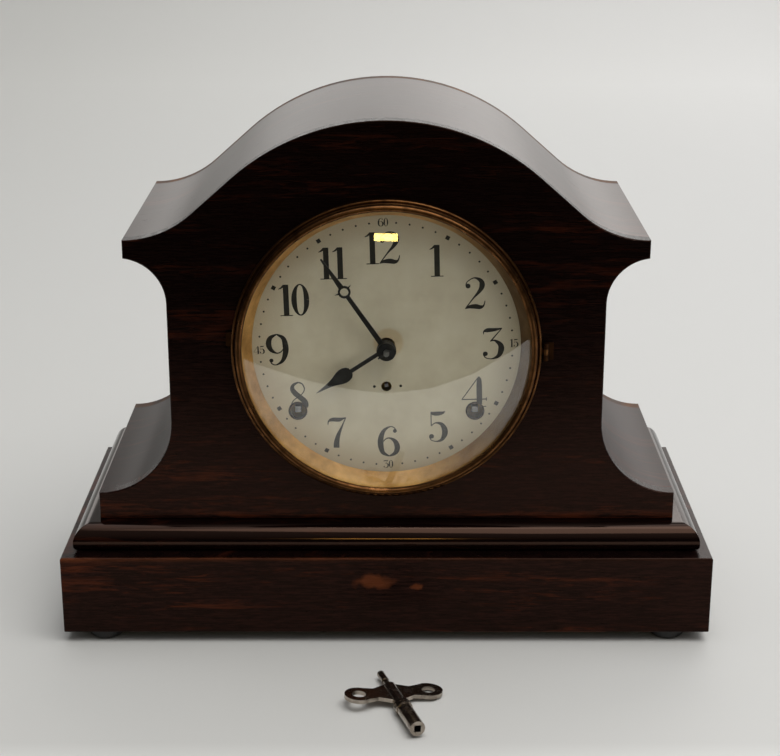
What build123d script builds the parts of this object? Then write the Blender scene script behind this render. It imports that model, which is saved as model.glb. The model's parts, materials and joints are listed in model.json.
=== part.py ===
from build123d import *
import os
from math import acos, asin, atan2, cos, degrees, hypot, pi, radians, sin, sqrt, tan

# Arched mantel clock with an eight-day striking movement.
# Lengths are in millimetres. X runs to the right, Y to the back and Z up.
# The origin is on the floor, under the middle of the plinth.

# Clearances
cut_overrun = 2.0
running_gap = 0.05
free_gap = 0.4

# Plinth and feet
plinth_width = 368.0
plinth_depth = 177.0
plinth_height = 46.0
rail_thickness = 16.0
edge_round = 0.9
bottom_board_thickness = 6.0
foot_height = 6.0
foot_radius = 10.5
foot_dome_radius = 4.0
foot_side_inset = 22.5
foot_front_inset = 12.0

# Moulded board on the plinth
moulding_height = 14.2
moulding_front_ledge = 10.0
moulding_side_ledge = 6.0
moulding_round = 9.6
moulding_under_round = 3.0

# Case body
body_front_setback = 13.8
body_side_setback = 14.0
foot_block_height = 16.0
waist_width = 242.4
arch_height = 116.8
arch_radius = 127.0
crest_slope_degrees = 41.4
crest_straight = 29.8
crest_cove_radius = 57.0
shoulder_lip = 2.2
upper_cove_share = 1.14
front_board_thickness = 8.5
back_board_thickness = 8.0
top_thickness = 8.0
cheek_thickness = 9.0
outline_round = 0.7

# Dial and its hole in the front board
dial_height = 115.5
dial_hole_margin = 2.5
dial_lap = 4.5
dial_thickness = 1.0
dial_centre_hole_radius = 5.0
eyelet_radius = 5.35
eyelet_bore_radius = 4.4
eyelet_sleeve = 0.5
eyelet_flange = 0.4
regulator_hole_radius = 2.95

# Bezel, glass and sight ring
bezel_aperture_radius = 80.0
bezel_width = 6.0
bezel_seat_width = 1.6
bezel_proud = 7.5
bezel_back_gap = 0.3
bezel_rim_shares = ((1.0, 0.24), (0.97, 0.42), (0.78, 0.45), (0.7, 0.36), (0.6, 0.4), (0.52, 0.56))
bezel_crown_share = 0.3
bezel_lip_share = 0.8
glass_thickness = 1.7
glass_rise = 9.5
glass_lip = 0.8
sight_ring_width = 5.0
sight_thickness = 0.8
tab_height = 8.0
tab_reach = 1.8
tab_rise = 7.0
tab_thickness = 1.6

# Hinges of the bezel and of the back door
hinge_height = 10.0
hinge_leaf_width = 4.6
hinge_leaf_thickness = 0.9
hinge_knuckle_radius = 1.7
hinge_pin_radius = 0.8
hinge_stand_off = 2.2
hinge_joint_gap = 0.2
hinge_knuckle_share = 0.36

# Back door
door_drop = 14.0
door_hole_radius = 52.0
door_radius = 57.0
door_thickness = 1.2
door_gap = 0.3
door_vent_radius = 3.0
door_vent_circle_radius = 30.0
door_vent_count = 10
knob_radius = 5.0
knob_neck_radius = 2.6
knob_length = 8.0
knob_inset = 9.0

# Wood screws
screw_shank_radius = 1.5
screw_head_radius = 3.0
screw_head_height = 1.6
screw_length = 14.0
screw_bite_share = 0.7
screw_foot_inset = 9.0

# Hands, at six minutes to eight
hour_angle_degrees = 236.3
minute_angle_degrees = 325.6
hand_thickness = 0.9
hour_hand_length = 47.3
hour_hub_radius = 5.0
hour_rod_width = 2.2
hour_spade_start = 23.5
hour_spade_width = 8.4
minute_hand_length = 63.3
minute_hub_radius = 5.5
minute_hub_thickness = 2.4
minute_rod_width = 2.2
minute_ring_place = 40.8
minute_ring_radius = 3.5
minute_ring_bore_radius = 2.3
minute_horn_reach = 5.4
minute_horn_width = 1.5
hour_hand_stand_off = 4.2
hand_spacing = 2.9
arbor_tip_length = 3.6
hand_pin_radius = 0.45
hand_pin_length = 8.0

# Movement frame
motion_space = 13.0
plate_thickness = 1.6
plate_gap = 38.0
plate_half_width = 66.0
plate_top = 54.0
plate_bottom = 58.0
plate_chamfer = 7.0
end_shake = 0.25
pillar_radius = 3.0
pillar_end_radius = 1.5
upper_pillar_x = 61.0
upper_pillar_rise = 46.0
lower_pillar_x = 17.0
lower_pillar_drop = 52.0
nut_radius = 3.6
nut_height = 2.4
bracket_bearing = 33.3
bracket_post_gap = 0.6
bracket_root_inset = 9.0
bracket_width = 8.0
bracket_thickness = 3.0
bracket_post_radius = 3.4

# Toothed wheels
pressure_angle = radians(20.0)
tooth_thin_share = 0.2
wheel_addendum_share = 0.75
pinion_addendum_share = 0.65
dedendum_share = 1.1
arbor_radius = 1.0
pivot_radius = 0.7
rim_share = 0.84
hub_share = 0.3
spoke_share = 0.16

# Winding places on the dial
winding_x = 50.0
winding_drop = 38.2
regulator_drop = 23.8

# Wheel counts and tooth sizes, the same for the time side and the strike side
great_teeth = 64
great_module = 0.9
second_leaves = 16
second_teeth = 60
second_module = 0.8
third_leaves = 15

# Time train
center_teeth = 84
center_module = 0.5
fourth_leaves = 7
fourth_teeth = 70
fourth_module = 0.44
escape_leaves = 7
escape_teeth = 44
escape_radius = 12.0
escape_tooth_depth = 1.6
escape_rise = 30.6
verge_distance = 15.5

# Strike train
pin_wheel_teeth = 72
pin_wheel_module = 0.5
warning_leaves = 8
warning_teeth = 60
warning_module = 0.45
fly_leaves = 7
strike_second_bearing = 100.0
pin_wheel_bearing = 53.0
warning_bearing = 60.0
fly_bearing = 155.0
pin_count = 8
pin_radius = 0.8
pin_length = 6.0
fly_span = 22.0
fly_depth = 9.0
fly_thickness = 0.8

# Motion work
cannon_leaves = 12
minute_wheel_teeth = 36
cannon_module = 0.6
minute_leaves = 8
hour_teeth = 32
motion_bearing = 135.0
motion_wheel_thickness = 1.5
motion_first_gap = 1.0
motion_second_gap = 2.0
cannon_wall = 0.8
hour_pipe_wall = 0.9
center_arbor_radius = 1.6
minute_stud_radius = 1.1

# Places of the wheels between the plates, from the front plate's back face
spring_front = 3.0
spring_width = 19.0
ratchet_front = 23.2
ratchet_thickness = 2.0
great_front = 26.0
great_thickness = 2.0
second_wheel_front = 31.0
center_wheel_front = 8.0
fourth_wheel_front = 15.0
escape_wheel_front = 33.5
pin_wheel_front = 12.0
warning_wheel_front = 18.0
fly_front = 22.0
wheel_thickness = 1.4
pinion_overhang = 0.8

# Winding parts
winding_arbor_radius = 3.0
winding_square = 3.4
winding_back_pivot_radius = 1.6
winding_end_gap = 1.2
collet_radius = 5.0
ratchet_radius = 9.0
ratchet_teeth = 20
ratchet_tooth_depth = 1.3
click_pivot_place = 15.0
click_boss_radius = 2.2
click_arm_width = 2.4
click_bearing = 90.0
mainspring_thickness = 0.5
mainspring_pitch = 2.4
mainspring_turns = 8

# Verge, suspension and pendulum
pallet_half_angle = 30.0
pallet_width = 1.2
verge_hub_radius = 2.2
swing_degrees = 4.0
crutch_wire_radius = 0.5
crutch_length = 24.0
crutch_stand_off = 3.2
crutch_gap = 0.5
pendulum_stand_off = 9.0
pendulum_length = 115.5
pendulum_wire_radius = 1.0
clip_height = 6.0
clip_half_width = 1.6
spring_clear_length = 5.0
spring_clamp_length = 4.0
suspension_leaf = 0.24
suspension_width = 5.0
bob_radius = 16.0
bob_edge = 3.0
bob_thickness = 11.0

# Rate adjuster and slide
adjuster_radius = 1.5
adjuster_square = 2.0
adjuster_leaves = 24
adjuster_module = 0.5
adjuster_stand_off = 1.6
slide_width = 5.0
slide_thickness = 2.6
slide_stand_off = 2.0
slide_tail = 9.0
slide_travel = 2.0
slide_gap = 0.1
rack_tooth_count = 9
head_height = 5.0
head_reach = 3.5
guide_height = 5.0
guide_wall = 1.8
lower_guide_rise = 1.0
upper_guide_rise = 26.0

# Hammer, gong and gong stand
hammer_distance = 27.0
hammer_bearing = 155.0
hammer_arbor_radius = 1.5
hammer_tail_width = 2.4
hammer_tail_front = 7.0
hammer_tail_thickness = 2.0
hammer_arm_radius = 1.2
hammer_head_radius = 4.5
hammer_head_length = 9.0
hammer_gap = 1.5
hammer_place_degrees = 32.0
gong_x = -60.0
gong_rise = 56.0
gong_depth_share = 0.515
gong_wire_radius = 1.3
gong_pitch = 5.6
gong_inner_radius = 10.0
gong_turns = 5
gong_block_half = 2.6
gong_block_height = 6.0
gong_post_depth = 6.0
gong_post_gap = 4.0
gong_base_width = 36.0
gong_base_depth = 30.0
gong_base_height = 4.0

# Winding key, lying in front of the clock
key_x = 4.0
key_ahead = 67.5
key_yaw_degrees = 17.0
key_length = 66.0
key_wing_share = 0.37
key_barrel_radius = 4.1
key_barrel_length = 22.0
key_waist_radius = 3.4
key_collar_radius = 4.6
key_collar_width = 1.3
key_collar_pitch = 2.0
key_small_radius = 2.1
key_small_length = 9.0
key_small_neck_radius = 1.6
key_socket = 3.6
key_small_socket = 2.2
key_socket_depth = 14.0
key_small_depth = 6.0
key_wing_span = 54.5
key_wing_height = 15.5
key_wing_root_height = 21.0
key_wing_neck_height = 10.6
key_wing_neck_share = 0.37
key_wing_thickness = 2.2
key_wing_hole_radius = 3.8

# Levels and places worked out from the sizes above
half_plinth = plinth_width / 2
plinth_front = -plinth_depth / 2
plinth_back = plinth_depth / 2
plinth_top = foot_height + plinth_height
moulding_front = plinth_front + moulding_front_ledge
moulding_half = half_plinth - moulding_side_ledge
body_base = plinth_top + moulding_height
body_front = moulding_front + body_front_setback
body_back = plinth_back
board_back = body_front + front_board_thickness
back_board_front = body_back - back_board_thickness
foot_half = moulding_half - body_side_setback
waist_half = waist_width / 2
foot_top = body_base + foot_block_height
lower_cove = foot_half - waist_half
arch_z = plinth_top + arch_height
arch_top = arch_z + arch_radius
dial_z = plinth_top + dial_height
slope = radians(crest_slope_degrees)
shoulder_half = (arch_radius + crest_cove_radius) * sin(slope) + crest_straight * cos(slope)
shoulder_top = (arch_z + arch_radius * cos(slope) - crest_straight * sin(slope)
                - crest_cove_radius * (1 - cos(slope)))
shoulder_bottom = shoulder_top - top_thickness - shoulder_lip
upper_cove = upper_cove_share * (shoulder_half - waist_half)
cheek_inner = waist_half - cheek_thickness
door_z = dial_z - door_drop

bezel_radius = bezel_aperture_radius + bezel_width
sight_inner_radius = bezel_aperture_radius - sight_ring_width
dial_hole_radius = bezel_aperture_radius + dial_hole_margin
dial_radius = dial_hole_radius + dial_lap
dial_front = board_back
dial_back = dial_front + dial_thickness
front_plate_front = dial_back + motion_space
front_plate_back = front_plate_front + plate_thickness
back_plate_front = front_plate_back + plate_gap
back_plate_back = back_plate_front + plate_thickness
pendulum_y = back_plate_back + pendulum_stand_off
gong_y = back_plate_back + gong_depth_share * (back_board_front - back_plate_back)

hour_hand_back = dial_front - hour_hand_stand_off
hour_hand_front = hour_hand_back - hand_thickness
minute_hand_back = hour_hand_front - hand_spacing
minute_hand_front = minute_hand_back - hand_thickness
minute_hub_front = minute_hand_front - minute_hub_thickness
arbor_tip = minute_hub_front - arbor_tip_length


def polar(radius, degrees_from_x):
    """A point at a radius and at an angle counter-clockwise from +X, seen from the front."""
    return (radius * cos(radians(degrees_from_x)), radius * sin(radians(degrees_from_x)))


def shifted(point, offset):
    return (point[0] + offset[0], point[1] + offset[1])


def bearing(start, end):
    return degrees(atan2(end[1] - start[1], end[0] - start[0]))


def meeting_point(first, first_reach, second, second_reach):
    """The point at both reaches, on the left of the way from first to second."""
    span = hypot(second[0] - first[0], second[1] - first[1])
    along = (first_reach ** 2 - second_reach ** 2 + span ** 2) / (2 * span)
    aside = sqrt(first_reach ** 2 - along ** 2)
    way = bearing(first, second)
    return shifted(shifted(first, polar(along, way)), polar(aside, way + 90))


def centre_distance(teeth, leaves, module):
    return (teeth + leaves) * module / 2


def slab(profile, front, depth):
    """A flat profile, drawn in X and Z, given a depth towards the back."""
    return extrude(Plane.XZ.offset(-front) * profile, amount=-depth)


def disc(place, radius):
    return Pos(*place) * Circle(radius)


def rod(place, radius, front, back):
    return slab(disc(place, radius), front, back - front)


def bar(start, end, width):
    """A flat strip between two points."""
    length = hypot(end[0] - start[0], end[1] - start[1])
    middle = ((start[0] + end[0]) / 2, (start[1] + end[1]) / 2)
    return Pos(*middle) * Rot(0, 0, bearing(start, end)) * Rectangle(length, width)


def block(x_span, y_span, z_span):
    size = [high - low for low, high in (x_span, y_span, z_span)]
    middle = [(high + low) / 2 for low, high in (x_span, y_span, z_span)]
    return Pos(*middle) * Box(*size)


def closed_line(points):
    return make_face(Polyline(*points, close=True))


def dome_height(radius, rim, rise):
    """Height at a radius of a round cap that rises from its rim."""
    ball = (rim ** 2 + rise ** 2) / (2 * rise)
    return sqrt(ball ** 2 - radius ** 2) - ball + rise


def turned(profile, place):
    """A profile of radius and depth, turned about the Y direction through a place."""
    return Pos(place[0], 0, place[1]) * revolve(profile, Axis.Y)


# Places of the arbors, from the dial's centre
center = (0.0, 0.0)
time_winding = (winding_x, -winding_drop)
strike_winding = (-winding_x, -winding_drop)
regulator = (0.0, -regulator_drop)
great_distance = centre_distance(great_teeth, second_leaves, great_module)
third_distance = centre_distance(second_teeth, third_leaves, second_module)
fourth_distance = centre_distance(center_teeth, fourth_leaves, center_module)
escape_distance = centre_distance(fourth_teeth, escape_leaves, fourth_module)
time_second = meeting_point(center, third_distance, time_winding, great_distance)
escape = (0.0, escape_rise)
fourth = meeting_point(escape, escape_distance, center, fourth_distance)
verge_pivot = (0.0, escape_rise + verge_distance)
strike_second = shifted(strike_winding, polar(great_distance, strike_second_bearing))
pin_wheel = shifted(strike_second, polar(third_distance, pin_wheel_bearing))
warning_distance = centre_distance(pin_wheel_teeth, warning_leaves, pin_wheel_module)
warning = shifted(pin_wheel, polar(warning_distance, warning_bearing))
fly_distance = centre_distance(warning_teeth, fly_leaves, warning_module)
fly = shifted(warning, polar(fly_distance, fly_bearing))
hammer = shifted(pin_wheel, polar(hammer_distance, hammer_bearing))
motion_distance = centre_distance(minute_wheel_teeth, cannon_leaves, cannon_module)
hour_module = 2 * motion_distance / (hour_teeth + minute_leaves)
minute_stud = polar(motion_distance, motion_bearing)
pillar_places = [(side * upper_pillar_x, upper_pillar_rise) for side in (-1, 1)]
pillar_places += [(side * lower_pillar_x, -lower_pillar_drop) for side in (-1, 1)]
bracket_reach = polar(dial_radius + bracket_post_radius + bracket_post_gap, bracket_bearing)
bracket_places = [(side * bracket_reach[0], up * bracket_reach[1]) for side in (-1, 1) for up in (-1, 1)]


# Wooden case

def crest_edges(inset):
    """The top line from the right shoulder to the left one, moved inwards by inset."""
    cove = crest_cove_radius + inset
    cove_centre = (shoulder_half, shoulder_top + crest_cove_radius)
    tip = (shoulder_half, shoulder_top - inset)
    half_way = shifted(cove_centre, (-cove * sin(slope / 2), -cove * cos(slope / 2)))
    cove_end = shifted(cove_centre, (-cove * sin(slope), -cove * cos(slope)))
    arch = arch_radius - inset
    arch_start = (arch * sin(slope), arch_z + arch * cos(slope))

    def left(point):
        return (-point[0], point[1])

    return [
        ThreePointArc(tip, half_way, cove_end),
        Line(cove_end, arch_start),
        ThreePointArc(arch_start, (0, arch_z + arch), left(arch_start)),
        Line(left(arch_start), left(cove_end)),
        ThreePointArc(left(cove_end), left(half_way), left(tip)),
    ]


def side_edges(side):
    """One side of the case from its foot up to the shoulder's lower corner."""
    foot = (side * foot_half, foot_top)
    lower_centre = (side * foot_half, foot_top + lower_cove)
    lower_end = (side * waist_half, foot_top + lower_cove)
    lower_mid = (lower_centre[0] - side * lower_cove * sin(pi / 4),
                 lower_centre[1] - lower_cove * cos(pi / 4))
    spread = shoulder_half - waist_half
    end_angle = acos((upper_cove - spread) / upper_cove)
    upper_start = (side * waist_half, shoulder_bottom - upper_cove * sin(end_angle))
    upper_centre = (waist_half + upper_cove, upper_start[1])
    upper_mid = (side * (upper_centre[0] - upper_cove * cos(end_angle / 2)),
                 upper_centre[1] + upper_cove * sin(end_angle / 2))
    return [
        Line((side * foot_half, body_base), foot),
        ThreePointArc(foot, lower_mid, lower_end),
        Line(lower_end, upper_start),
        ThreePointArc(upper_start, upper_mid, (side * shoulder_half, shoulder_bottom)),
        Line((side * shoulder_half, shoulder_bottom), (side * shoulder_half, shoulder_top)),
    ]


def case_outline():
    base = Line((-foot_half, body_base), (foot_half, body_base))
    return make_face([base] + side_edges(1) + crest_edges(0) + side_edges(-1))


def top_profile():
    ends = [Line((side * shoulder_half, shoulder_top), (side * shoulder_half, shoulder_top - top_thickness))
            for side in (-1, 1)]
    return make_face(crest_edges(0) + crest_edges(top_thickness) + ends)


def cheek_profile():
    height = arch_top - body_base
    width = foot_half - cheek_inner
    right_part = Pos(cheek_inner + width / 2, body_base + height / 2) * Rectangle(width, height)
    return (case_outline() & right_part) - top_profile()


def plinth_rail(long_half, outer, inner):
    """A mitred rail on the front side, with its two outer long edges eased."""
    mitre = abs(outer - inner)
    corners = [(-long_half, outer), (long_half, outer), (long_half - mitre, inner), (-long_half + mitre, inner)]
    rail = Pos(0, 0, foot_height) * extrude(closed_line(corners), amount=plinth_height)
    outer_edges = rail.faces().sort_by(Axis.Y)[0].edges().filter_by(Axis.X)
    return fillet(outer_edges, edge_round)


def moulded_board():
    board = block((-moulding_half, moulding_half), (moulding_front, plinth_back), (plinth_top, body_base))
    upper = board.faces().sort_by(Axis.Z)[-1].edges().sort_by(Axis.Y)[:-1]
    board = fillet(upper, moulding_round)
    lower = board.faces().sort_by(Axis.Z)[0].edges().sort_by(Axis.Y)[:-1]
    return fillet(lower, moulding_under_round)


def foot(x, y):
    """A low domed glide with a flat under it."""
    glide = Pos(x, y, 0) * Cylinder(foot_radius, foot_height, align=(Align.CENTER, Align.CENTER, Align.MIN))
    return fillet(glide.faces().sort_by(Axis.Z)[0].edges(), foot_dome_radius)


def wood_screw(place, seat, inwards):
    """A round-headed screw whose head sits on the plane Y = seat and whose shank goes inwards."""
    head = slab(disc(place, screw_head_radius), min(seat, seat - inwards * screw_head_height), screw_head_height)
    shank_end = seat + inwards * screw_length
    shank = rod(place, screw_shank_radius, min(seat, shank_end), max(seat, shank_end))
    return head + shank


def back_screw_places():
    """Places over the cheeks' feet, over their waists and along the arched top."""
    foot_x = foot_half - screw_foot_inset
    waist_x = waist_half - cheek_thickness / 2
    arch = arch_radius - top_thickness / 2
    places = []
    for side in (-1, 1):
        places.append((side * foot_x, (body_base + foot_top) / 2))
        places.append((side * waist_x, (foot_top + lower_cove + arch_z) / 2))
        places.append((side * arch * sin(slope / 2), arch_z + arch * cos(slope / 2)))
    return places


def bracket_screw(place):
    """A screw through a movement bracket's post into the back of the front board."""
    head_front = front_plate_front
    point = board_back - front_board_thickness * screw_bite_share
    shifted_place = (place[0], place[1] + dial_z)
    return (rod(shifted_place, screw_shank_radius, point, head_front)
            + rod(shifted_place, screw_head_radius, head_front, head_front + screw_head_height))


def build_case(nodes):
    half_depth = plinth_depth / 2
    front_rail = plinth_rail(half_plinth, -half_depth, rail_thickness - half_depth)
    side_rail = plinth_rail(half_depth, -half_plinth, rail_thickness - half_plinth)
    nodes["plinth_front_rail"] = front_rail
    nodes["plinth_back_rail"] = Rot(0, 0, 180) * front_rail
    nodes["plinth_left_rail"] = Rot(0, 0, -90) * side_rail
    nodes["plinth_right_rail"] = Rot(0, 0, 90) * side_rail
    inner_half = half_plinth - rail_thickness
    inner_depth = half_depth - rail_thickness
    nodes["bottom_board"] = block((-inner_half, inner_half), (-inner_depth, inner_depth),
                                  (foot_height, foot_height + bottom_board_thickness))
    foot_x = half_plinth - foot_side_inset
    foot_y = half_depth - foot_front_inset
    nodes["feet"] = Compound(children=[foot(side * foot_x, end * foot_y) for side in (-1, 1) for end in (-1, 1)])
    nodes["ovolo_board"] = moulded_board()

    outline = case_outline()
    front_hole = Pos(0, dial_z) * Circle(dial_hole_radius)
    front = slab(outline - front_hole, body_front, front_board_thickness)
    front = fillet(front.faces().sort_by(Axis.Y)[0].outer_wire().edges(), outline_round)
    back_hole = Pos(0, door_z) * Circle(door_hole_radius)
    back = slab(outline - back_hole, back_board_front, back_board_thickness)
    back = fillet(back.faces().sort_by(Axis.Y)[-1].outer_wire().edges(), outline_round)
    wall_depth = back_board_front - board_back
    cheek = slab(cheek_profile(), board_back, wall_depth)

    back_screws = [wood_screw(place, body_back, -1) for place in back_screw_places()]
    bracket_screws = [bracket_screw(place) for place in bracket_places]
    for screw in bracket_screws:
        front = front - screw
    top = slab(top_profile(), board_back, wall_depth)
    left_cheek = mirror(cheek, about=Plane.YZ)
    for screw in back_screws:
        back = back - screw
        cheek = cheek - screw
        left_cheek = left_cheek - screw
        top = top - screw
    nodes["case_front"] = front
    nodes["case_back"] = back
    nodes["right_cheek"] = cheek
    nodes["left_cheek"] = left_cheek
    nodes["arched_top"] = top
    nodes["wood_screws"] = Compound(children=back_screws + bracket_screws)


# Hinges

def hinge_cylinder(axis_place, radius, low, high):
    return Pos(axis_place[0], axis_place[1], low) * Cylinder(
        radius, high - low, align=(Align.CENTER, Align.CENTER, Align.MIN))


def hinge_sections(z):
    """Heights of the lower, middle and upper knuckle about z."""
    low, high = z - hinge_height / 2, z + hinge_height / 2
    half_middle = hinge_height * hinge_knuckle_share / 2
    return ((low, z - half_middle), (z - half_middle + hinge_joint_gap, z + half_middle - hinge_joint_gap),
            (z + half_middle, high))


def fixed_hinge(axis_x, face_y, outwards, z):
    """Leaf with its two knuckles, and the pin, on a face whose outside is outwards along Y."""
    axis_place = (axis_x, face_y + outwards * hinge_stand_off)
    lower, middle, upper = hinge_sections(z)
    leaf_y = sorted((face_y, face_y + outwards * hinge_leaf_thickness))
    web_y = sorted((face_y, axis_place[1]))
    leaf = block((axis_x, axis_x + hinge_leaf_width), leaf_y, (lower[0], upper[1]))
    bore = hinge_cylinder(axis_place, hinge_pin_radius + running_gap, lower[0] - cut_overrun,
                          upper[1] + cut_overrun)
    for low, high in (lower, upper):
        leaf = leaf + hinge_cylinder(axis_place, hinge_knuckle_radius, low, high)
        leaf = leaf + block((axis_x, axis_x + hinge_knuckle_radius), web_y, (low, high))
    room = hinge_knuckle_radius + free_gap
    relief = hinge_cylinder(axis_place, room, middle[0] - hinge_joint_gap, middle[1] + hinge_joint_gap)
    pin = hinge_cylinder(axis_place, hinge_pin_radius, lower[0], upper[1])
    return leaf - relief - bore, pin


def moving_knuckle(axis_x, face_y, outwards, z, reach_x):
    """The middle knuckle with its arm towards reach_x."""
    axis_place = (axis_x, face_y + outwards * hinge_stand_off)
    middle = hinge_sections(z)[1]
    arm_y = sorted((axis_place[1], axis_place[1] - outwards * hinge_knuckle_radius))
    arm = block((reach_x, axis_x), arm_y, middle)
    knuckle = arm + hinge_cylinder(axis_place, hinge_knuckle_radius, *middle)
    return knuckle - hinge_cylinder(axis_place, hinge_pin_radius + running_gap, middle[0] - cut_overrun,
                                    middle[1] + cut_overrun)


# Bezel, glass and back door

bezel_hinge_x = bezel_radius + hinge_knuckle_radius + free_gap
door_hinge_x = door_radius + hinge_knuckle_radius + free_gap
bezel_seat_radius = bezel_aperture_radius + bezel_seat_width
lip_back = bezel_proud * bezel_lip_share - glass_lip


def proud_of_front(point):
    """A point given by its radius and how far it stands out of the case front."""
    return (point[0], body_front - point[1])


def bezel_ring():
    rim = [(bezel_aperture_radius + across * bezel_width, up * bezel_proud) for across, up in bezel_rim_shares]
    crown = (bezel_aperture_radius + bezel_crown_share * bezel_width, bezel_proud)
    lip = (bezel_aperture_radius, bezel_proud * bezel_lip_share)
    start = (bezel_seat_radius, bezel_back_gap)
    corner = (bezel_radius, bezel_back_gap)
    under_lip = (bezel_aperture_radius, lip_back)
    seat = (bezel_seat_radius, lip_back)
    points = [proud_of_front(point) for point in (start, corner, *rim, crown, lip, under_lip, seat)]
    start, corner, bead_foot, bead_top, bead_end, groove, step, hood_foot, crown, lip, under_lip, seat = points
    edges = [Line(start, corner), Line(corner, bead_foot), ThreePointArc(bead_foot, bead_top, bead_end),
             Line(bead_end, groove), Line(groove, step), Line(step, hood_foot),
             ThreePointArc(hood_foot, crown, lip), Line(lip, under_lip), Line(under_lip, seat), Line(seat, start)]
    ring = turned(make_face(edges), (0, dial_z))
    return ring + moving_knuckle(bezel_hinge_x, body_front, -1, dial_z, (bezel_radius + bezel_seat_radius) / 2)


def bezel_glass():
    rim = bezel_aperture_radius - running_gap
    edge = bezel_seat_radius - running_gap
    rise = lip_back - running_gap

    def dome(radius, drop):
        return proud_of_front((radius, rise + dome_height(radius, rim, glass_rise) - drop))

    profile = make_face([
        ThreePointArc(dome(0, 0), dome(rim / 2, 0), dome(rim, 0)),
        Line(dome(rim, 0), proud_of_front((edge, rise))),
        Line(proud_of_front((edge, rise)), proud_of_front((edge, rise - glass_thickness))),
        Line(proud_of_front((edge, rise - glass_thickness)), dome(rim, glass_thickness)),
        ThreePointArc(dome(rim, glass_thickness), dome(rim / 2, glass_thickness), dome(0, glass_thickness)),
        Line(dome(0, glass_thickness), dome(0, 0)),
    ])
    return turned(profile, (0, dial_z))


def sight_ring():
    """A thin sloped ring from behind the glass back to the dial."""
    front = lip_back - running_gap - glass_thickness
    back = free_gap - (dial_front - body_front)
    outer = bezel_seat_radius - running_gap
    points = [(bezel_aperture_radius, front), (outer, front), (outer, front - sight_thickness),
              (bezel_aperture_radius, front - sight_thickness), (sight_inner_radius + sight_thickness, back),
              (sight_inner_radius, back)]
    return turned(closed_line([proud_of_front(point) for point in points]), (0, dial_z))


def bezel_tab():
    """Thumb tab near nine o'clock, soldered to the bezel's rim."""
    side = sqrt(bezel_radius ** 2 - (tab_rise + tab_height / 2) ** 2)
    tab_width = tab_reach + 2 * tab_thickness
    plate = Pos(-side - tab_reach / 2, dial_z + tab_rise) * Rectangle(tab_width, tab_height)
    plate = fillet(plate.vertices().sort_by(Axis.X)[:2], tab_reach / 2)
    plate = plate - Pos(0, dial_z) * Circle(bezel_radius + running_gap)
    return slab(plate, body_front - bezel_back_gap - tab_thickness, tab_thickness)


def back_door():
    vents = [Pos(*polar(door_vent_circle_radius, 360 * step / door_vent_count)) * Circle(door_vent_radius)
             for step in range(door_vent_count)]
    sheet = Circle(door_radius)
    for vent in vents:
        sheet = sheet - vent
    panel = slab(Pos(0, door_z) * sheet, body_back + door_gap, door_thickness)
    return panel + moving_knuckle(door_hinge_x, body_back, 1, door_z, door_radius - hinge_knuckle_radius)


def door_knob():
    seat = body_back + door_gap + door_thickness
    end = seat + knob_length
    profile = make_face([
        Line((0, seat), (knob_neck_radius, seat)),
        Line((knob_neck_radius, seat), (knob_neck_radius, seat + knob_length / 3)),
        ThreePointArc((knob_neck_radius, seat + knob_length / 3), (knob_radius, seat + knob_length * 2 / 3),
                      (knob_neck_radius, end)),
        Line((knob_neck_radius, end), (0, end)),
        Line((0, end), (0, seat)),
    ])
    return turned(profile, (knob_inset - door_radius, door_z))


def build_bezel_and_door(nodes):
    nodes["bezel_ring"] = bezel_ring()
    nodes["bezel_glass"] = bezel_glass()
    nodes["sight_ring"] = sight_ring()
    nodes["bezel_tab"] = bezel_tab()
    nodes["bezel_hinge"] = Compound(children=fixed_hinge(bezel_hinge_x, body_front, -1, dial_z))
    nodes["back_door"] = back_door()
    nodes["back_door_knob"] = door_knob()
    nodes["back_door_hinge"] = Compound(children=fixed_hinge(door_hinge_x, body_back, 1, door_z))


# Toothed wheels

def gear_profile(teeth, module, addendum_share, phase):
    """Straight-faceted involute teeth, with one tooth's middle at the angle phase."""
    pitch = teeth * module / 2
    base = pitch * cos(pressure_angle)
    radii = (pitch - dedendum_share * module, pitch, pitch + addendum_share * module)

    def half_tooth(radius):
        lean = acos(min(1, base / radius))
        spread = tan(pressure_angle) - pressure_angle - tan(lean) + lean
        return degrees((1 - tooth_thin_share) * pi / (2 * teeth) + spread)

    points = []
    for tooth in range(teeth):
        middle = phase + 360 * tooth / teeth
        points += [polar(radius, middle - half_tooth(radius)) for radius in radii]
        points += [polar(radius, middle + half_tooth(radius)) for radius in reversed(radii)]
    return closed_line(points)


def crossed_wheel(teeth, module, phase, bore_radius):
    """A wheel with four spokes."""
    root = teeth * module / 2 - dedendum_share * module
    hub = max(hub_share * root, bore_radius * 2)
    window = Circle(rim_share * root) - Circle(hub)
    spoke = spoke_share * root
    window = window - Rectangle(2 * root, spoke) - Rectangle(spoke, 2 * root)
    return gear_profile(teeth, module, wheel_addendum_share, phase) - window


def pinion(leaves, module, phase):
    return gear_profile(leaves, module, pinion_addendum_share, phase)


def gap_phase(leaves, direction):
    """The phase that puts the middle of a gap at a direction."""
    return direction + 180 / leaves


def layer(depth):
    """Y of a depth behind the front plate's back face."""
    return front_plate_back + depth


def arbor(place):
    """A plain arbor between the plates with a pivot in each of them."""
    body = rod(place, arbor_radius, layer(end_shake), back_plate_front - end_shake)
    return body + rod(place, pivot_radius, front_plate_front, back_plate_back)


def at_place(place, profile, front, thickness):
    return slab(Pos(*place) * profile, layer(front), thickness)


def train_wheel(place, wheel, wheel_front, leaves, leaves_front, leaves_depth):
    """An arbor with its wheel and its pinion."""
    solid = arbor(place) + at_place(place, wheel, wheel_front, wheel_thickness)
    return solid + at_place(place, leaves, leaves_front, leaves_depth)


def pinion_span(mate_front, mate_thickness):
    return mate_front - pinion_overhang, mate_thickness + 2 * pinion_overhang


# Winding parts, mainsprings and clicks

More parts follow.
